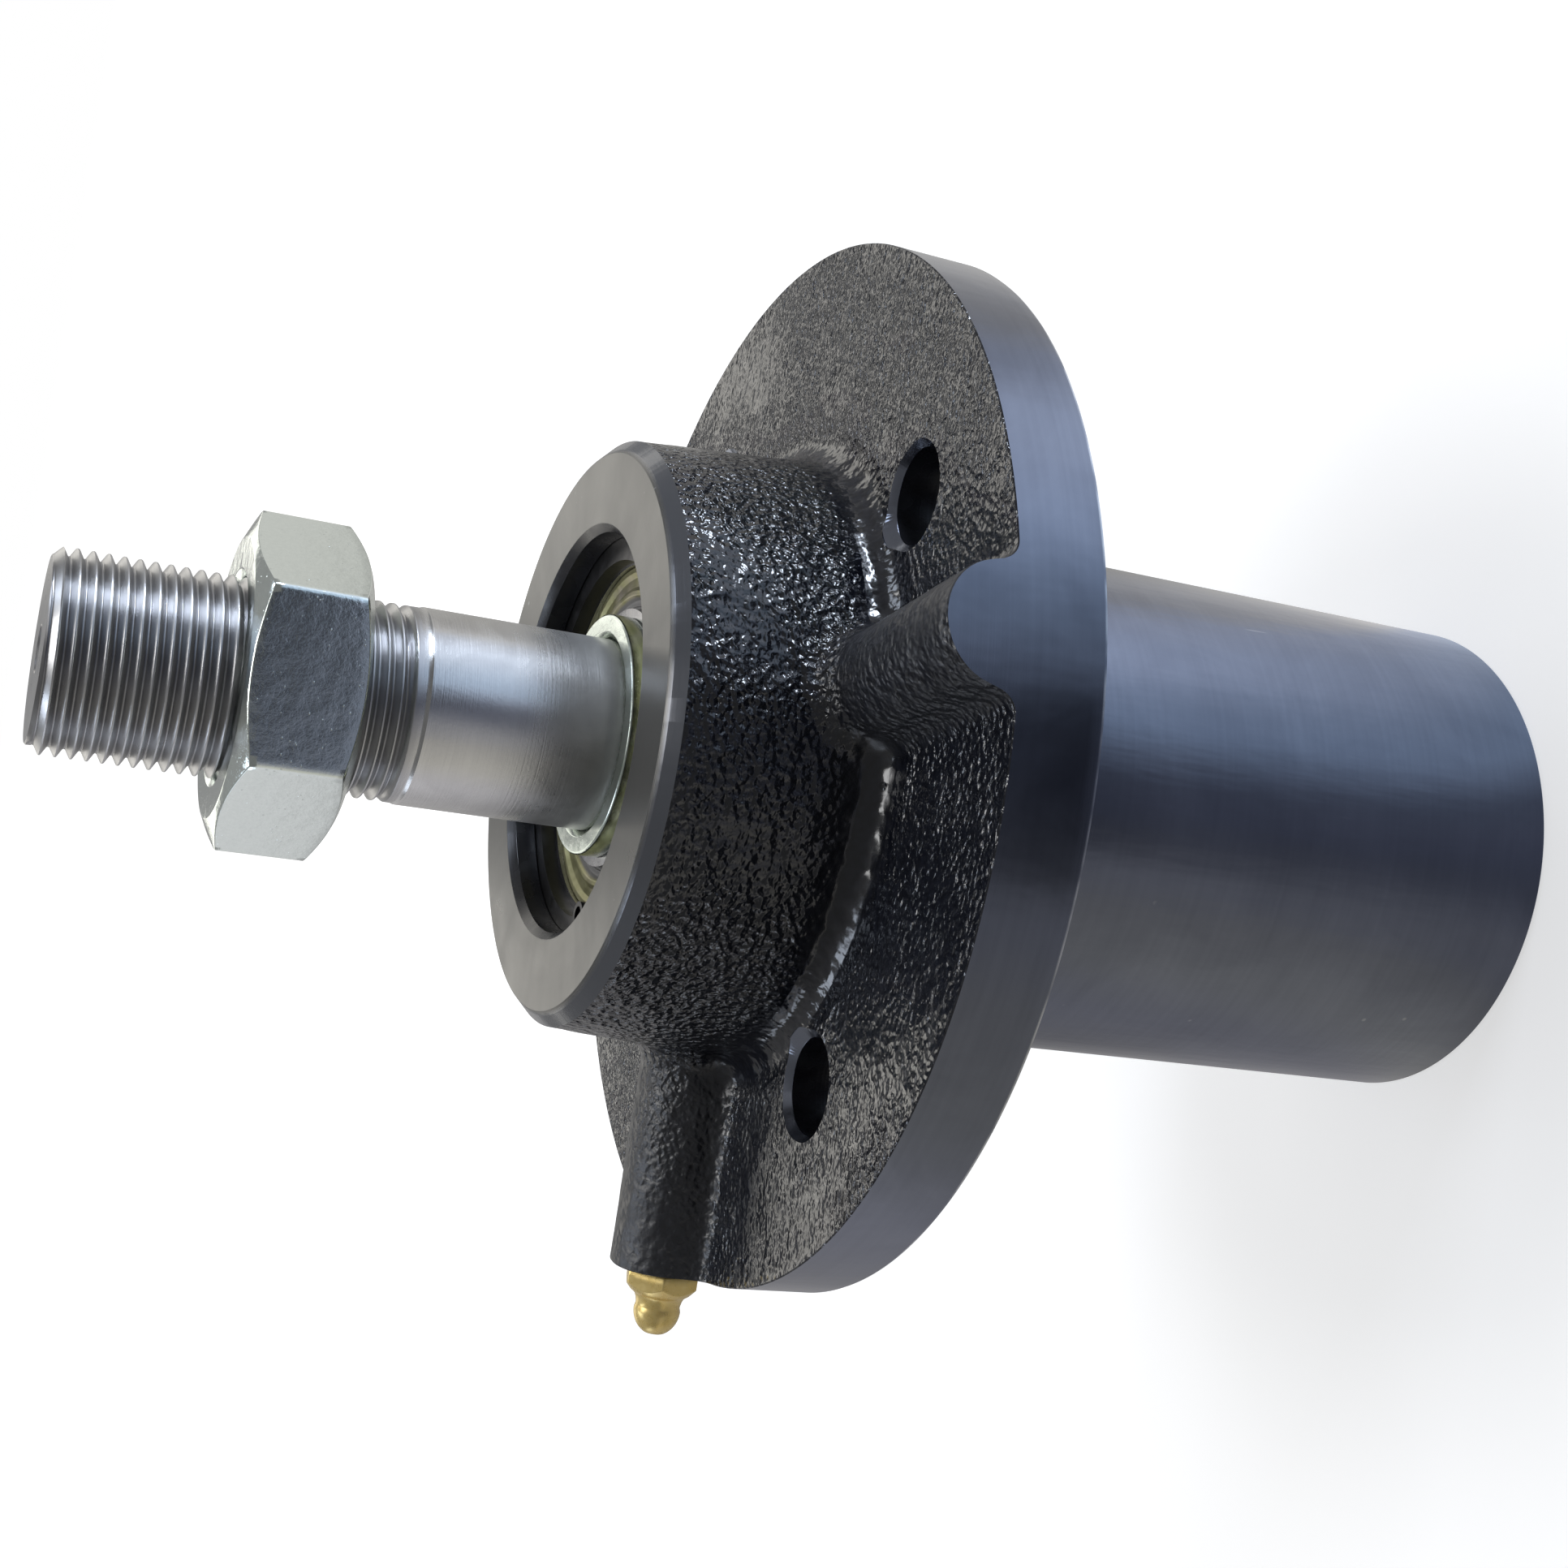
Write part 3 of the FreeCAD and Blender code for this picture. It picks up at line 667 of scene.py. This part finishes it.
class Shader:
    """A node material whose places are the row frame's, in mm, so that grain stays put on each piece."""

    def __init__(self, name):
        self.material = bpy.data.materials.new(name)
        self.material.use_nodes = True
        self.tree = self.material.node_tree
        self.bsdf = self.tree.nodes["Principled BSDF"]
        place = self.node("ShaderNodeTexCoord").outputs["Object"]
        self.place = self.vector("SCALE", place, scale=1000.0)
        split = self.node("ShaderNodeSeparateXYZ", {"Vector": self.place})
        self.x, self.y, self.z = split.outputs
        self.r = self.length(self.vector("MULTIPLY", self.place, (1, 1, 0)))
        self.turn = self.math("ARCTAN2", self.y, self.x)

    def node(self, kind, inputs=(), **settings):
        made = self.tree.nodes.new(kind)
        for key, value in settings.items():
            setattr(made, key, value)
        for key, value in dict(inputs).items():
            self.feed(made.inputs[key], value)
        return made

    def feed(self, socket, value):
        """Links a socket to another one, or gives it a number."""
        if isinstance(value, bpy.types.NodeSocket):
            self.tree.links.new(value, socket)
        else:
            socket.default_value = value

    def math(self, operation, a, b=0.0, clamp=False):
        return self.node("ShaderNodeMath", {0: a, 1: b}, operation=operation, use_clamp=clamp).outputs[0]

    def times(self, *values):
        """The product of all values, taken from left to right."""
        total = values[0]
        for value in values[1:]:
            total = self.math("MULTIPLY", total, value)
        return total

    def plus(self, a, b, clamp=False):
        return self.math("ADD", a, b, clamp)

    def vector(self, operation, a, b=(0, 0, 0), scale=1.0):
        made = self.node("ShaderNodeVectorMath", {0: a, 1: b}, operation=operation)
        if operation == "SCALE":
            made.inputs["Scale"].default_value = scale
        return made.outputs[0]

    def length(self, vector):
        return self.node("ShaderNodeVectorMath", {0: vector}, operation="LENGTH").outputs["Value"]

    def along(self, direction):
        """How far a place lies along a direction from the origin."""
        inputs = {0: self.place, 1: direction}
        return self.node("ShaderNodeVectorMath", inputs, operation="DOT_PRODUCT").outputs["Value"]

    def combine(self, x, y, z):
        return self.node("ShaderNodeCombineXYZ", {0: x, 1: y, 2: z}).outputs[0]

    def noise(self, wavelength, detail=2.0, roughness=0.5, distortion=0.0, place=None):
        inputs = {
            "Vector": place or self.place,
            "Scale": 1.0 / wavelength,
            "Detail": detail,
            "Roughness": roughness,
            "Distortion": distortion,
        }
        return self.node("ShaderNodeTexNoise", inputs).outputs["Fac"]

    def cells(self, wavelength, smooth):
        inputs = {"Vector": self.place, "Scale": 1.0 / wavelength, "Smoothness": smooth}
        return self.node("ShaderNodeTexVoronoi", inputs, feature="SMOOTH_F1").outputs["Distance"]

    def span(self, value, low, high, to_low=0.0, to_high=1.0):
        """The value's place between low and high, as a number from to_low to to_high."""
        inputs = {"Value": value, "From Min": low, "From Max": high, "To Min": to_low, "To Max": to_high}
        return self.node("ShaderNodeMapRange", inputs, clamp=True).outputs["Result"]

    def where(self, mask, outside, inside):
        """A level that goes from outside to inside as the mask goes from 0 to 1."""
        return self.span(mask, 0.0, 1.0, outside, inside)

    def mix(self, share, a, b):
        """A colour between two others, each a socket or three numbers."""
        made = self.node("ShaderNodeMix", data_type="RGBA")
        for key, value in (("Factor_Float", share), ("A_Color", a), ("B_Color", b)):
            socket = next(s for s in made.inputs if s.identifier == key)
            self.feed(socket, (*value, 1.0) if isinstance(value, tuple) else value)
        return next(s for s in made.outputs if s.identifier == "Result_Color")

    def bump(self, height, distance_mm, below=None):
        inputs = {"Height": height, "Distance": distance_mm * MM, "Strength": 1.0}
        if below is not None:
            inputs["Normal"] = below
        return self.node("ShaderNodeBump", inputs).outputs["Normal"]

    def set(self, **sockets):
        """Feeds the main shader's sockets and hands the material back."""
        for key, value in sockets.items():
            self.feed(self.bsdf.inputs[SOCKETS[key]], (*value, 1.0) if isinstance(value, tuple) else value)
        return self.material

    def specks(self, spacing, share, size=0.35):
        """Scattered small spots: 1 inside a spot, 0 outside."""
        inputs = {"Vector": self.place, "Scale": 1.0 / spacing}
        spots = self.node("ShaderNodeTexVoronoi", inputs, feature="F1").outputs["Distance"]
        chance = self.noise(spacing * 2.6, 1.0)
        small = self.span(spots, size * 0.5, size, 1.0, 0.0)
        return self.times(small, self.span(chance, 1.0 - share, 1.0 - share + 0.05))

    def rings(self, pitch, line):
        """Fine marks of the turning tool round the axis, repeated along the line."""
        place = self.combine(self.times(line, 1.0 / pitch), self.times(self.turn, 0.7), 0.0)
        return self.node("ShaderNodeTexNoise", {"Vector": place, "Scale": 1.0, "Detail": 3.0}).outputs["Fac"]


def cast_paint():
    """Thick black paint over a sand-cast skin: pebbled, glossy, with small pits, and smoother on the ribs."""
    s = Shader("cast_black_paint")
    pebble = s.cells(0.95, 0.6)
    grain = s.noise(0.9, 1.5, 0.5, 0.3)
    swell = s.noise(3.2, 1.0)
    pits = s.specks(2.6, 0.42, 0.2)
    patch = s.span(s.noise(19.0, 2.0), 0.38, 0.6, 0.3, 1.0)
    ribs = 0.0
    for rib_deg, radius in RIBS:
        rib = math.radians(rib_deg)
        out = s.along((math.cos(rib), math.sin(rib), 0))
        across = s.along((-math.sin(rib), math.cos(rib), 0))
        reach = s.length(s.combine(across, s.math("SUBTRACT", s.z, RIB_AXIS), 0.0))
        on_rib = s.times(s.span(reach, radius + 2.5, radius + 0.5), s.span(out, 38.0, 44.0))
        patch = s.times(patch, s.where(on_rib, 1.0, 0.5))
        ribs = s.plus(ribs, on_rib, True)
    in_corner = s.times(s.span(s.r, 45.5, 43.0), s.span(s.z, 17.0, 14.5))
    on_flange = s.times(s.span(s.z, 12.6, 11.8), s.span(s.r, 46.0, 48.0))
    on_front = s.times(
        s.span(s.turn, math.radians(-112), math.radians(-98)),
        s.span(s.turn, math.radians(-76), math.radians(-82)),
        s.span(s.r, 46.0, 43.5),
    )
    for mask, level in ((in_corner, 0.14), (on_flange, 0.6), (on_front, 0.4)):
        patch = s.times(patch, s.where(mask, 1.0, level))
    height = s.times(s.plus(s.times(pebble, 0.8), s.times(grain, 0.9)), patch)
    normal = s.bump(swell, 0.4)
    normal = s.bump(height, 0.75, normal)
    normal = s.bump(s.math("SUBTRACT", 1.0, pits), 0.12, normal)
    color = s.mix(s.span(grain, 0.35, 0.7), (0.0035, 0.0042, 0.0078), (0.0095, 0.011, 0.0175))
    rough = s.plus(s.span(s.noise(2.4, 3.0), 0.3, 0.75, 0.1, 0.24), s.times(ribs, 0.26))
    return s.set(color=color, rough=rough, normal=normal, specular=0.85)


def turned_paint():
    """Thin black paint over turned iron: satin, faint tool rings, streaks, smudges, a few scratches, and a
    light rear edge of the rim that is partly wear and partly a painted highlight.
    """
    s = Shader("turned_black_paint")
    ring = s.plus(s.rings(0.28, s.r), s.rings(0.28, s.z))
    smudge = s.noise(19.0, 4.0, 0.6, 0.8)
    streak = s.noise(1.0, 3.0, place=s.combine(s.times(s.z, 0.035), s.times(s.turn, 7.0), 0.0))
    scratch = s.span(s.noise(0.8, 1.0, place=s.vector("MULTIPLY", s.place, (0.9, 0.9, 0.07))), 0.76, 0.8)
    scratch = s.times(scratch, s.span(s.noise(9.0, 1.0), 0.56, 0.66))
    dust = s.specks(4.4, 0.36, 0.09)
    tone = s.plus(s.times(smudge, 0.75), s.times(s.rings(0.9, s.z), 0.25))
    face = s.span(s.z, BOSS_FACE - 0.5, BOSS_FACE - 0.1)
    chamfer = s.span(s.z, BOSS_FACE - 2.6, BOSS_FACE - 2.3)
    # painted highlight: the rim's rear edge turns light grey, partly bare worn metal and partly a highlight
    # line painted along the edge
    worn_and_highlit_edge = s.times(s.span(s.z, 0.5, 0.25), s.span(s.r, 69.3, 69.6), s.span(s.noise(7.0, 2.0), 0.38, 0.55))
    color = s.mix(s.span(tone, 0.35, 0.65), (0.19, 0.205, 0.25), (0.235, 0.253, 0.305))
    color = s.mix(chamfer, color, (0.12, 0.125, 0.14))
    color = s.mix(face, color, (0.125, 0.123, 0.117))
    color = s.mix(s.times(s.plus(scratch, dust, True), 0.5), color, (0.45, 0.46, 0.48))
    color = s.mix(worn_and_highlit_edge, color, (0.62, 0.63, 0.65))
    rough = s.span(s.plus(smudge, s.times(streak, 0.5)), 0.5, 1.1, 0.15, 0.25)
    rough = s.plus(rough, s.times(s.plus(face, worn_and_highlit_edge), 0.12))
    normal = s.bump(ring, 0.006)
    normal = s.bump(s.times(streak, s.where(face, 1.0, 0.0)), 0.12, normal)
    normal = s.bump(s.noise(5.0, 2.0), 0.02, normal)
    return s.set(color=color, rough=rough, metal=s.where(chamfer, 1.0, 0.55), normal=normal)


def bore_paint():
    """Smooth near-black skin of the bore and the barrel's end."""
    s = Shader("bore_black")
    color = s.mix(s.span(s.noise(6.0, 3.0), 0.3, 0.7), (0.006, 0.006, 0.009), (0.015, 0.016, 0.02))
    rough = s.span(s.noise(3.0, 2.0), 0.3, 0.7, 0.2, 0.34)
    return s.set(color=color, rough=rough, normal=s.bump(s.rings(0.3, s.z), 0.01))


def shaft_steel():
    """Turned bright steel: fine rings, dark specks of dirt in the thread, darker thread roots, and a dull
    band by the washer that is partly ground differently and partly a painted reflection.
    """
    s = Shader("shaft_steel")
    ring = s.rings(0.22, s.z)
    smudge = s.noise(9.0, 4.0, 0.6, 1.0)
    thread = s.span(s.z, 60.0, 61.5)
    root = s.span(s.r, 12.5, 11.6)
    # darker in patches towards the roots of the thread
    root_darkening = s.times(root, thread, s.span(s.noise(3.0, 3.0), 0.25, 0.7, 0.35, 1.0))
    dirt = s.times(s.specks(1.9, 0.3, 0.22), s.where(thread, 0.08, 0.7))
    # painted reflection: above the washer the steel turns half diffuse and rougher, so its own colour shows
    # bright where the mirror image of the boss face would be; partly also a differently ground zone
    ground_and_reflection_band = s.times(s.math("POWER", s.span(s.z, 54.0, 40.0), 1.7), s.span(s.z, 35.2, 35.6))
    color = s.mix(s.span(smudge, 0.35, 0.7), (0.58, 0.58, 0.575), (0.69, 0.69, 0.68))
    color = s.mix(root_darkening, color, (0.3, 0.295, 0.3))
    color = s.mix(s.times(thread, 0.6), color, (0.36, 0.36, 0.37))
    color = s.mix(dirt, color, (0.03, 0.03, 0.03))
    rough = s.span(s.plus(smudge, s.times(ring, 0.6)), 0.6, 1.1, 0.17, 0.28)
    rough = s.plus(rough, s.times(thread, 0.1))
    rough = s.plus(rough, s.times(ground_and_reflection_band, 0.12))
    normal = s.bump(ring, 0.012)
    normal = s.bump(s.noise(0.5, 3.0), 0.01, normal)
    return s.set(color=color, rough=rough, metal=s.where(ground_and_reflection_band, 1.0, 0.5), normal=normal)


def zinc(name, tone, deep, rough_low, rough_high, mottle=1.0):
    """Bright zinc plate, faintly green, with a mottled bloom and tiny dents."""
    s = Shader(name)
    bloom = s.noise(1.6 * mottle, 4.0, 0.65)
    broad = s.noise(11.0, 2.0)
    color = s.mix(s.span(bloom, 0.3, 0.72), deep, tone)
    rough = s.span(s.plus(bloom, s.times(broad, 0.5)), 0.45, 1.0, rough_low, rough_high)
    normal = s.bump(bloom, 0.03)
    normal = s.bump(s.cells(2.2, 0.5), 0.03, normal)
    normal = s.bump(s.specks(0.6, 0.4, 0.2), 0.025, normal)
    return s.set(color=color, rough=rough, metal=1.0, normal=normal)


def plain_metal(name, tone, rough):
    """Even metal for the pieces inside, with a fine grain."""
    s = Shader(name)
    bloom = s.noise(2.0, 3.0)
    color = s.mix(s.span(bloom, 0.3, 0.7), tuple(c * 0.8 for c in tone), tone)
    rough = s.span(bloom, 0.3, 0.7, rough * 0.8, rough * 1.2)
    return s.set(color=color, rough=rough, metal=1.0, normal=s.bump(s.noise(0.4, 2.0), 0.008))


def seal_metal():
    """Yellow plated shield with a grey moulded lip inside it."""
    s = Shader("seal_yellow_zinc")
    bloom = s.noise(2.4, 4.0, 0.6, 0.6)
    plate = s.mix(s.span(bloom, 0.3, 0.7), (0.3, 0.29, 0.14), (0.5, 0.48, 0.27))
    plate = s.mix(s.span(s.noise(6.0, 2.0), 0.5, 0.75), plate, (0.52, 0.46, 0.4))
    color = s.mix(s.span(s.r, 18.95, 18.75), plate, (0.23, 0.22, 0.215))
    metal = s.span(s.r, 18.75, 18.95, 0.0, 0.85)
    rough = s.span(bloom, 0.3, 0.7, 0.3, 0.45)
    return s.set(color=color, rough=rough, metal=metal, normal=s.bump(s.rings(0.4, s.r), 0.012))


def brass():
    """Gold coloured plate, a little cloudy."""
    s = Shader("fitting_brass")
    bloom = s.noise(1.1, 3.0, 0.6)
    color = s.mix(s.span(bloom, 0.3, 0.7), (0.82, 0.6, 0.2), (0.92, 0.71, 0.29))
    color = s.mix(s.span(s.noise(4.0, 2.0), 0.55, 0.75), color, (0.74, 0.53, 0.18))
    rough = s.span(bloom, 0.3, 0.7, 0.24, 0.34)
    return s.set(color=color, rough=rough, metal=0.5, normal=s.bump(s.noise(0.5, 2.0), 0.004))


# Build

paint_cast = cast_paint()
paint_turned = turned_paint()
paint_bore = bore_paint()
steel = shaft_steel()
nut_finish = zinc("nut_zinc", (0.83, 0.89, 0.855), (0.78, 0.84, 0.81), 0.08, 0.13, 0.4)
washer_finish = zinc("washer_zinc", (0.73, 0.79, 0.73), (0.6, 0.67, 0.61), 0.16, 0.28)
seal_finish = seal_metal()
gold = brass()
ball_steel = plain_metal("ball_steel", (0.7, 0.7, 0.7), 0.1)
spring_steel = plain_metal("spring_steel", (0.45, 0.45, 0.45), 0.3)

# A node gets the finish of the first word that its name holds
finishes = (
    ("bearing_spacer", plain_metal("spacer_steel", (0.4, 0.4, 0.4), 0.35)),
    ("check_spring", spring_steel),
    ("cage", plain_metal("cage_steel", (0.45, 0.45, 0.45), 0.35)),
    ("ball", ball_steel),
    ("ring", plain_metal("bearing_steel", (0.42, 0.42, 0.44), 0.25)),
    ("seal", seal_finish),
    ("circlip", plain_metal("circlip_black", (0.06, 0.06, 0.065), 0.35)),
    ("washer", washer_finish),
    ("nut", nut_finish),
    ("fitting", gold),
    ("shaft", steel),
    ("housing", paint_turned),
)
for name, obj in NODES.items():
    finish = next(finish for word, finish in finishes if word in name)
    for slot in obj.material_slots:
        slot.material = finish

adopt(housing_mesh([paint_cast, paint_turned, paint_bore]), "housing", "housing_paint", "housing")
adopt(shaft_mesh(steel), "rotor", "shaft_steel", "shaft")
adopt(nut_mesh(nut_finish), "nut", "nut_zinc", "shaft_nut")
adopt(washer_mesh(washer_finish), "rotor", "washer_zinc", "pulley_washer")
adopt(seal_mesh("upper_seal_body", seal_finish, False), "housing", "seal_yellow_zinc", "upper_seal")
adopt(seal_mesh("lower_seal_body", seal_finish, True), "housing", "seal_yellow_zinc", "lower_seal")
adopt(fitting_mesh(gold), "housing", "fitting_brass", "grease_fitting")
spring = adopt(spring_copy(spring_steel), "housing", "spring_steel", "check_spring")
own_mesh(spring)
for name in ("upper_circlip", "lower_circlip", "upper_outer_ring", "lower_outer_ring"):
    soften_edges(NODES[name], 0.12)


# Stage, light and camera, in metres

FLOOR_TONE = 0.62
FLOOR_HALF = 5.0
FLOOR_LIFT = (0.15, 0.75, 0.6, 1.0)  # near and far distance, and the lift to white at each
ROOM_FROM, ROOM_TO = 0.1, -0.5  # where the room turns darker, by the Y of a ray
ROOM_BACK, ROOM_FRONT = 0.28, 0.16
WHITE = (1.0, 1.0, 1.0)
WARM = (1.0, 0.965, 0.885)
COOL = (0.76, 0.85, 1.0)

# How brightly the floor shows in the turned faces' mirror, round the object: a cool strip at its right, a
# dark gap in front and a plain grey elsewhere. Each ring is a distance and its turns in degrees with levels.
GLOW_RINGS = (
    (0.04, ((-180, 0.34), (-150, 0.44), (-105, 0.27), (-88, 0.18), (-70, 0.24), (-50, 0.7), (-20, 0.85),
            (15, 0.85), (90, 0.45), (180, 0.34))),
    (0.13, ((-180, 0.38), (-150, 0.4), (-112, 0.32), (-92, 0.17), (-74, 0.2), (-42, 0.9), (-18, 1.35),
            (0, 1.15), (18, 0.68), (30, 0.74), (60, 0.4), (150, 0.28), (180, 0.38))),
    (0.24, ((-180, 0.46), (-130, 0.27), (-106, 0.24), (-97, 0.04), (-70, 0.03), (-56, 0.45), (-32, 1.35),
            (-12, 1.3), (5, 0.7), (18, 0.5), (44, 0.66), (90, 0.5), (148, 0.36), (180, 0.46))),
    (0.55, ((-180, 0.55), (-155, 0.64), (-112, 0.46), (-84, 0.26), (-76, 0.3), (-58, 1.1), (-12, 1.35),
            (8, 0.78), (28, 0.38), (60, 0.4), (145, 0.36), (180, 0.55))),
    (1.0, ((-180, 0.7), (-135, 0.5), (-100, 0.3), (-82, 0.14), (-80, 0.055), (-64, 0.05), (-54, 0.7),
           (-15, 0.95), (40, 0.62), (100, 0.55), (158, 0.68), (180, 0.7))),
)
GLOW_TINTS = (
    (-180, (0.98, 0.96, 1.0)), (-145, (1.0, 0.97, 0.9)), (-125, (1.0, 0.97, 0.92)), (-108, (0.94, 0.94, 1.0)),
    (-80, (0.7, 0.76, 1.0)), (-52, (0.62, 0.77, 1.0)), (-15, (0.74, 0.83, 1.0)), (4, (0.8, 0.86, 1.0)),
    (18, (1.0, 0.98, 0.96)), (60, (1.0, 0.98, 0.94)), (180, (0.98, 0.96, 1.0)),
)

# Name, place, aim, size, level and colour. A level of 1 is as bright as white paper.
LAMPS = (
    ("overhead", (0.1, 0.03, 1.1), (0, 0, 0), (0.52, 0.4), 5.6, WHITE),
    ("back_left", (0.445, 1.0, 0.415), (0.445, 0, 0.415), (0.91, 0.38), 1.15, WARM),
    ("back_right", (-0.53, 1.0, 0.415), (-0.53, 0, 0.415), (0.74, 0.38), 1.15, WARM),
    ("back_left_low", (0.06, 0.99, 0.35), (0.06, 0, 0.35), (0.14, 0.25), 0.3, WARM),
    ("back_right_low", (-0.23, 0.99, 0.35), (-0.23, 0, 0.35), (0.14, 0.25), 0.4, WARM),
    ("crown", (-0.07, 0.55, 0.85), (0, 0, 0.02), (0.2, 0.2), 2.5, WHITE),
    ("arch_left", (-0.5, 0.3, 0.95), (0, 0, 0.01), (0.52, 0.2), 4.2, COOL),
    ("arch_right", (0.5, 0.3, 0.95), (0, 0, 0.01), (0.52, 0.2), 4.2, COOL),
    ("side", (0.95, -0.15, 0.12), (0, 0, 0), (0.36, 0.14), 28.0, COOL),
    ("lee_side", (-0.95, 0.1, 0.14), (0, 0, 0), (0.42, 0.16), 2.0, COOL),
)

# Fitted to the photograph's outlines
CAMERA_PLACE = (0.01684, -0.26659, 0.11794)
CAMERA_RIGHT = Vector((0.17630, -0.36692, -0.91339))
CAMERA_UP = Vector((0.98201, 0.12929, 0.13761))
CAMERA_FORWARD = Vector((-0.06760, 0.92123, -0.38311))
CAMERA_LENS = 48.584
CAMERA_SENSOR = 36.0


def turn_ramp(shader, fac, stops):
    """Tones that change with the turn round the object."""
    made = shader.node("ShaderNodeValToRGB", {"Fac": fac})
    ramp = made.color_ramp
    ramp.interpolation = "EASE"
    for k, (turn, tone) in enumerate(stops):
        place = (turn + 180) / 360
        if k in (0, len(stops) - 1):
            stop = ramp.elements[-1 if k else 0]
            stop.position = place
        else:
            stop = ramp.elements.new(place)
        stop.color = (*tone, 1.0) if isinstance(tone, tuple) else (tone, tone, tone, 1.0)
    return made.outputs["Color"]


def floor_glow(shader):
    """The light that the floor gives off where the turned faces mirror it: painted reflections, seen only by
    glossy and transmitted rays.
    """
    reach = shader.times(shader.r, MM)
    turn = shader.span(shader.turn, -math.pi, math.pi)
    total = turn_ramp(shader, turn, GLOW_RINGS[0][1])
    for before, (distance, stops) in zip(GLOW_RINGS, GLOW_RINGS[1:]):
        total = shader.mix(shader.span(reach, before[0], distance), total, turn_ramp(shader, turn, stops))
    return shader.vector("MULTIPLY", total, turn_ramp(shader, turn, GLOW_TINTS))


def floor():
    """A pale floor that the camera sees lifted to white, more so far away, with the object's shadow kept."""
    s = Shader("floor_tone")
    s.set(color=(FLOOR_TONE, FLOOR_TONE, FLOOR_TONE), rough=0.9, specular=0.1)
    s.material.cycles.emission_sampling = "NONE"
    path = s.node("ShaderNodeLightPath")
    lift = s.span(s.times(s.r, MM), *FLOOR_LIFT)
    seen = s.node("ShaderNodeEmission", {"Strength": s.times(lift, path.outputs["Is Camera Ray"])})
    lit = s.node("ShaderNodeAddShader", {0: s.bsdf.outputs[0], 1: seen.outputs[0]})
    mirrored = s.node("ShaderNodeEmission", {"Color": floor_glow(s)})
    in_metal = s.math("MAXIMUM", path.outputs["Is Glossy Ray"], path.outputs["Is Transmission Ray"])
    both = s.node("ShaderNodeMixShader", {0: in_metal, 1: lit.outputs[0], 2: mirrored.outputs[0]})
    s.tree.links.new(both.outputs[0], s.tree.nodes["Material Output"].inputs["Surface"])
    mesh = bpy.data.meshes.new("floor")
    half, level = FLOOR_HALF, BARREL_END * MM
    corners = [(-half, -half, level), (half, -half, level), (half, half, level), (-half, half, level)]
    mesh.from_pydata(corners, [], [(0, 1, 2, 3)])
    mesh.materials.append(s.material)
    obj = bpy.data.objects.new("floor", mesh)
    bpy.context.scene.collection.objects.link(obj)


def area(name, place, aim, size, level, color):
    """A soft box that the camera doesn't see."""
    light = bpy.data.lights.new(name, "AREA")
    light.shape = "RECTANGLE"
    light.size, light.size_y = size
    light.energy = level * math.pi * size[0] * size[1]
    light.color = color
    obj = bpy.data.objects.new(name, light)
    bpy.context.scene.collection.objects.link(obj)
    obj.location = place
    obj.rotation_mode = "QUATERNION"
    obj.rotation_quaternion = (Vector(aim) - Vector(place)).to_track_quat("-Z", "Y")
    obj.visible_camera = False


def world():
    """A plain grey room, darker in front, and white to the camera."""
    made = bpy.data.worlds.new("studio")
    bpy.context.scene.world = made
    made.use_nodes = True
    tree = made.node_tree
    background = tree.nodes["Background"]
    background.inputs["Color"].default_value = (*WHITE, 1)
    path = tree.nodes.new("ShaderNodeLightPath")
    split = tree.nodes.new("ShaderNodeSeparateXYZ")
    front = tree.nodes.new("ShaderNodeMapRange")
    for key, value in (
        ("From Min", ROOM_FROM), ("From Max", ROOM_TO), ("To Min", ROOM_BACK), ("To Max", ROOM_FRONT),
    ):
        front.inputs[key].default_value = value
    strength = tree.nodes.new("ShaderNodeMapRange")
    strength.inputs["To Max"].default_value = 1.0
    tree.links.new(tree.nodes.new("ShaderNodeTexCoord").outputs["Generated"], split.inputs[0])
    tree.links.new(split.outputs["Y"], front.inputs["Value"])
    tree.links.new(path.outputs["Is Camera Ray"], strength.inputs["Value"])
    tree.links.new(front.outputs["Result"], strength.inputs["To Min"])
    tree.links.new(strength.outputs["Result"], background.inputs["Strength"])


def camera():
    """The photograph's point of view."""
    data = bpy.data.cameras.new("camera")
    data.lens = CAMERA_LENS
    data.sensor_width = CAMERA_SENSOR
    data.clip_start = 0.01
    data.clip_end = 20.0
    obj = bpy.data.objects.new("camera", data)
    bpy.context.scene.collection.objects.link(obj)
    turn = Matrix((CAMERA_RIGHT, CAMERA_UP, -CAMERA_FORWARD)).transposed().to_4x4()
    obj.matrix_world = Matrix.Translation(CAMERA_PLACE) @ turn
    bpy.context.scene.camera = obj


floor()
world()
camera()
for lamp in LAMPS:
    area(*lamp)

bpy.context.scene.view_settings.view_transform = "Standard"
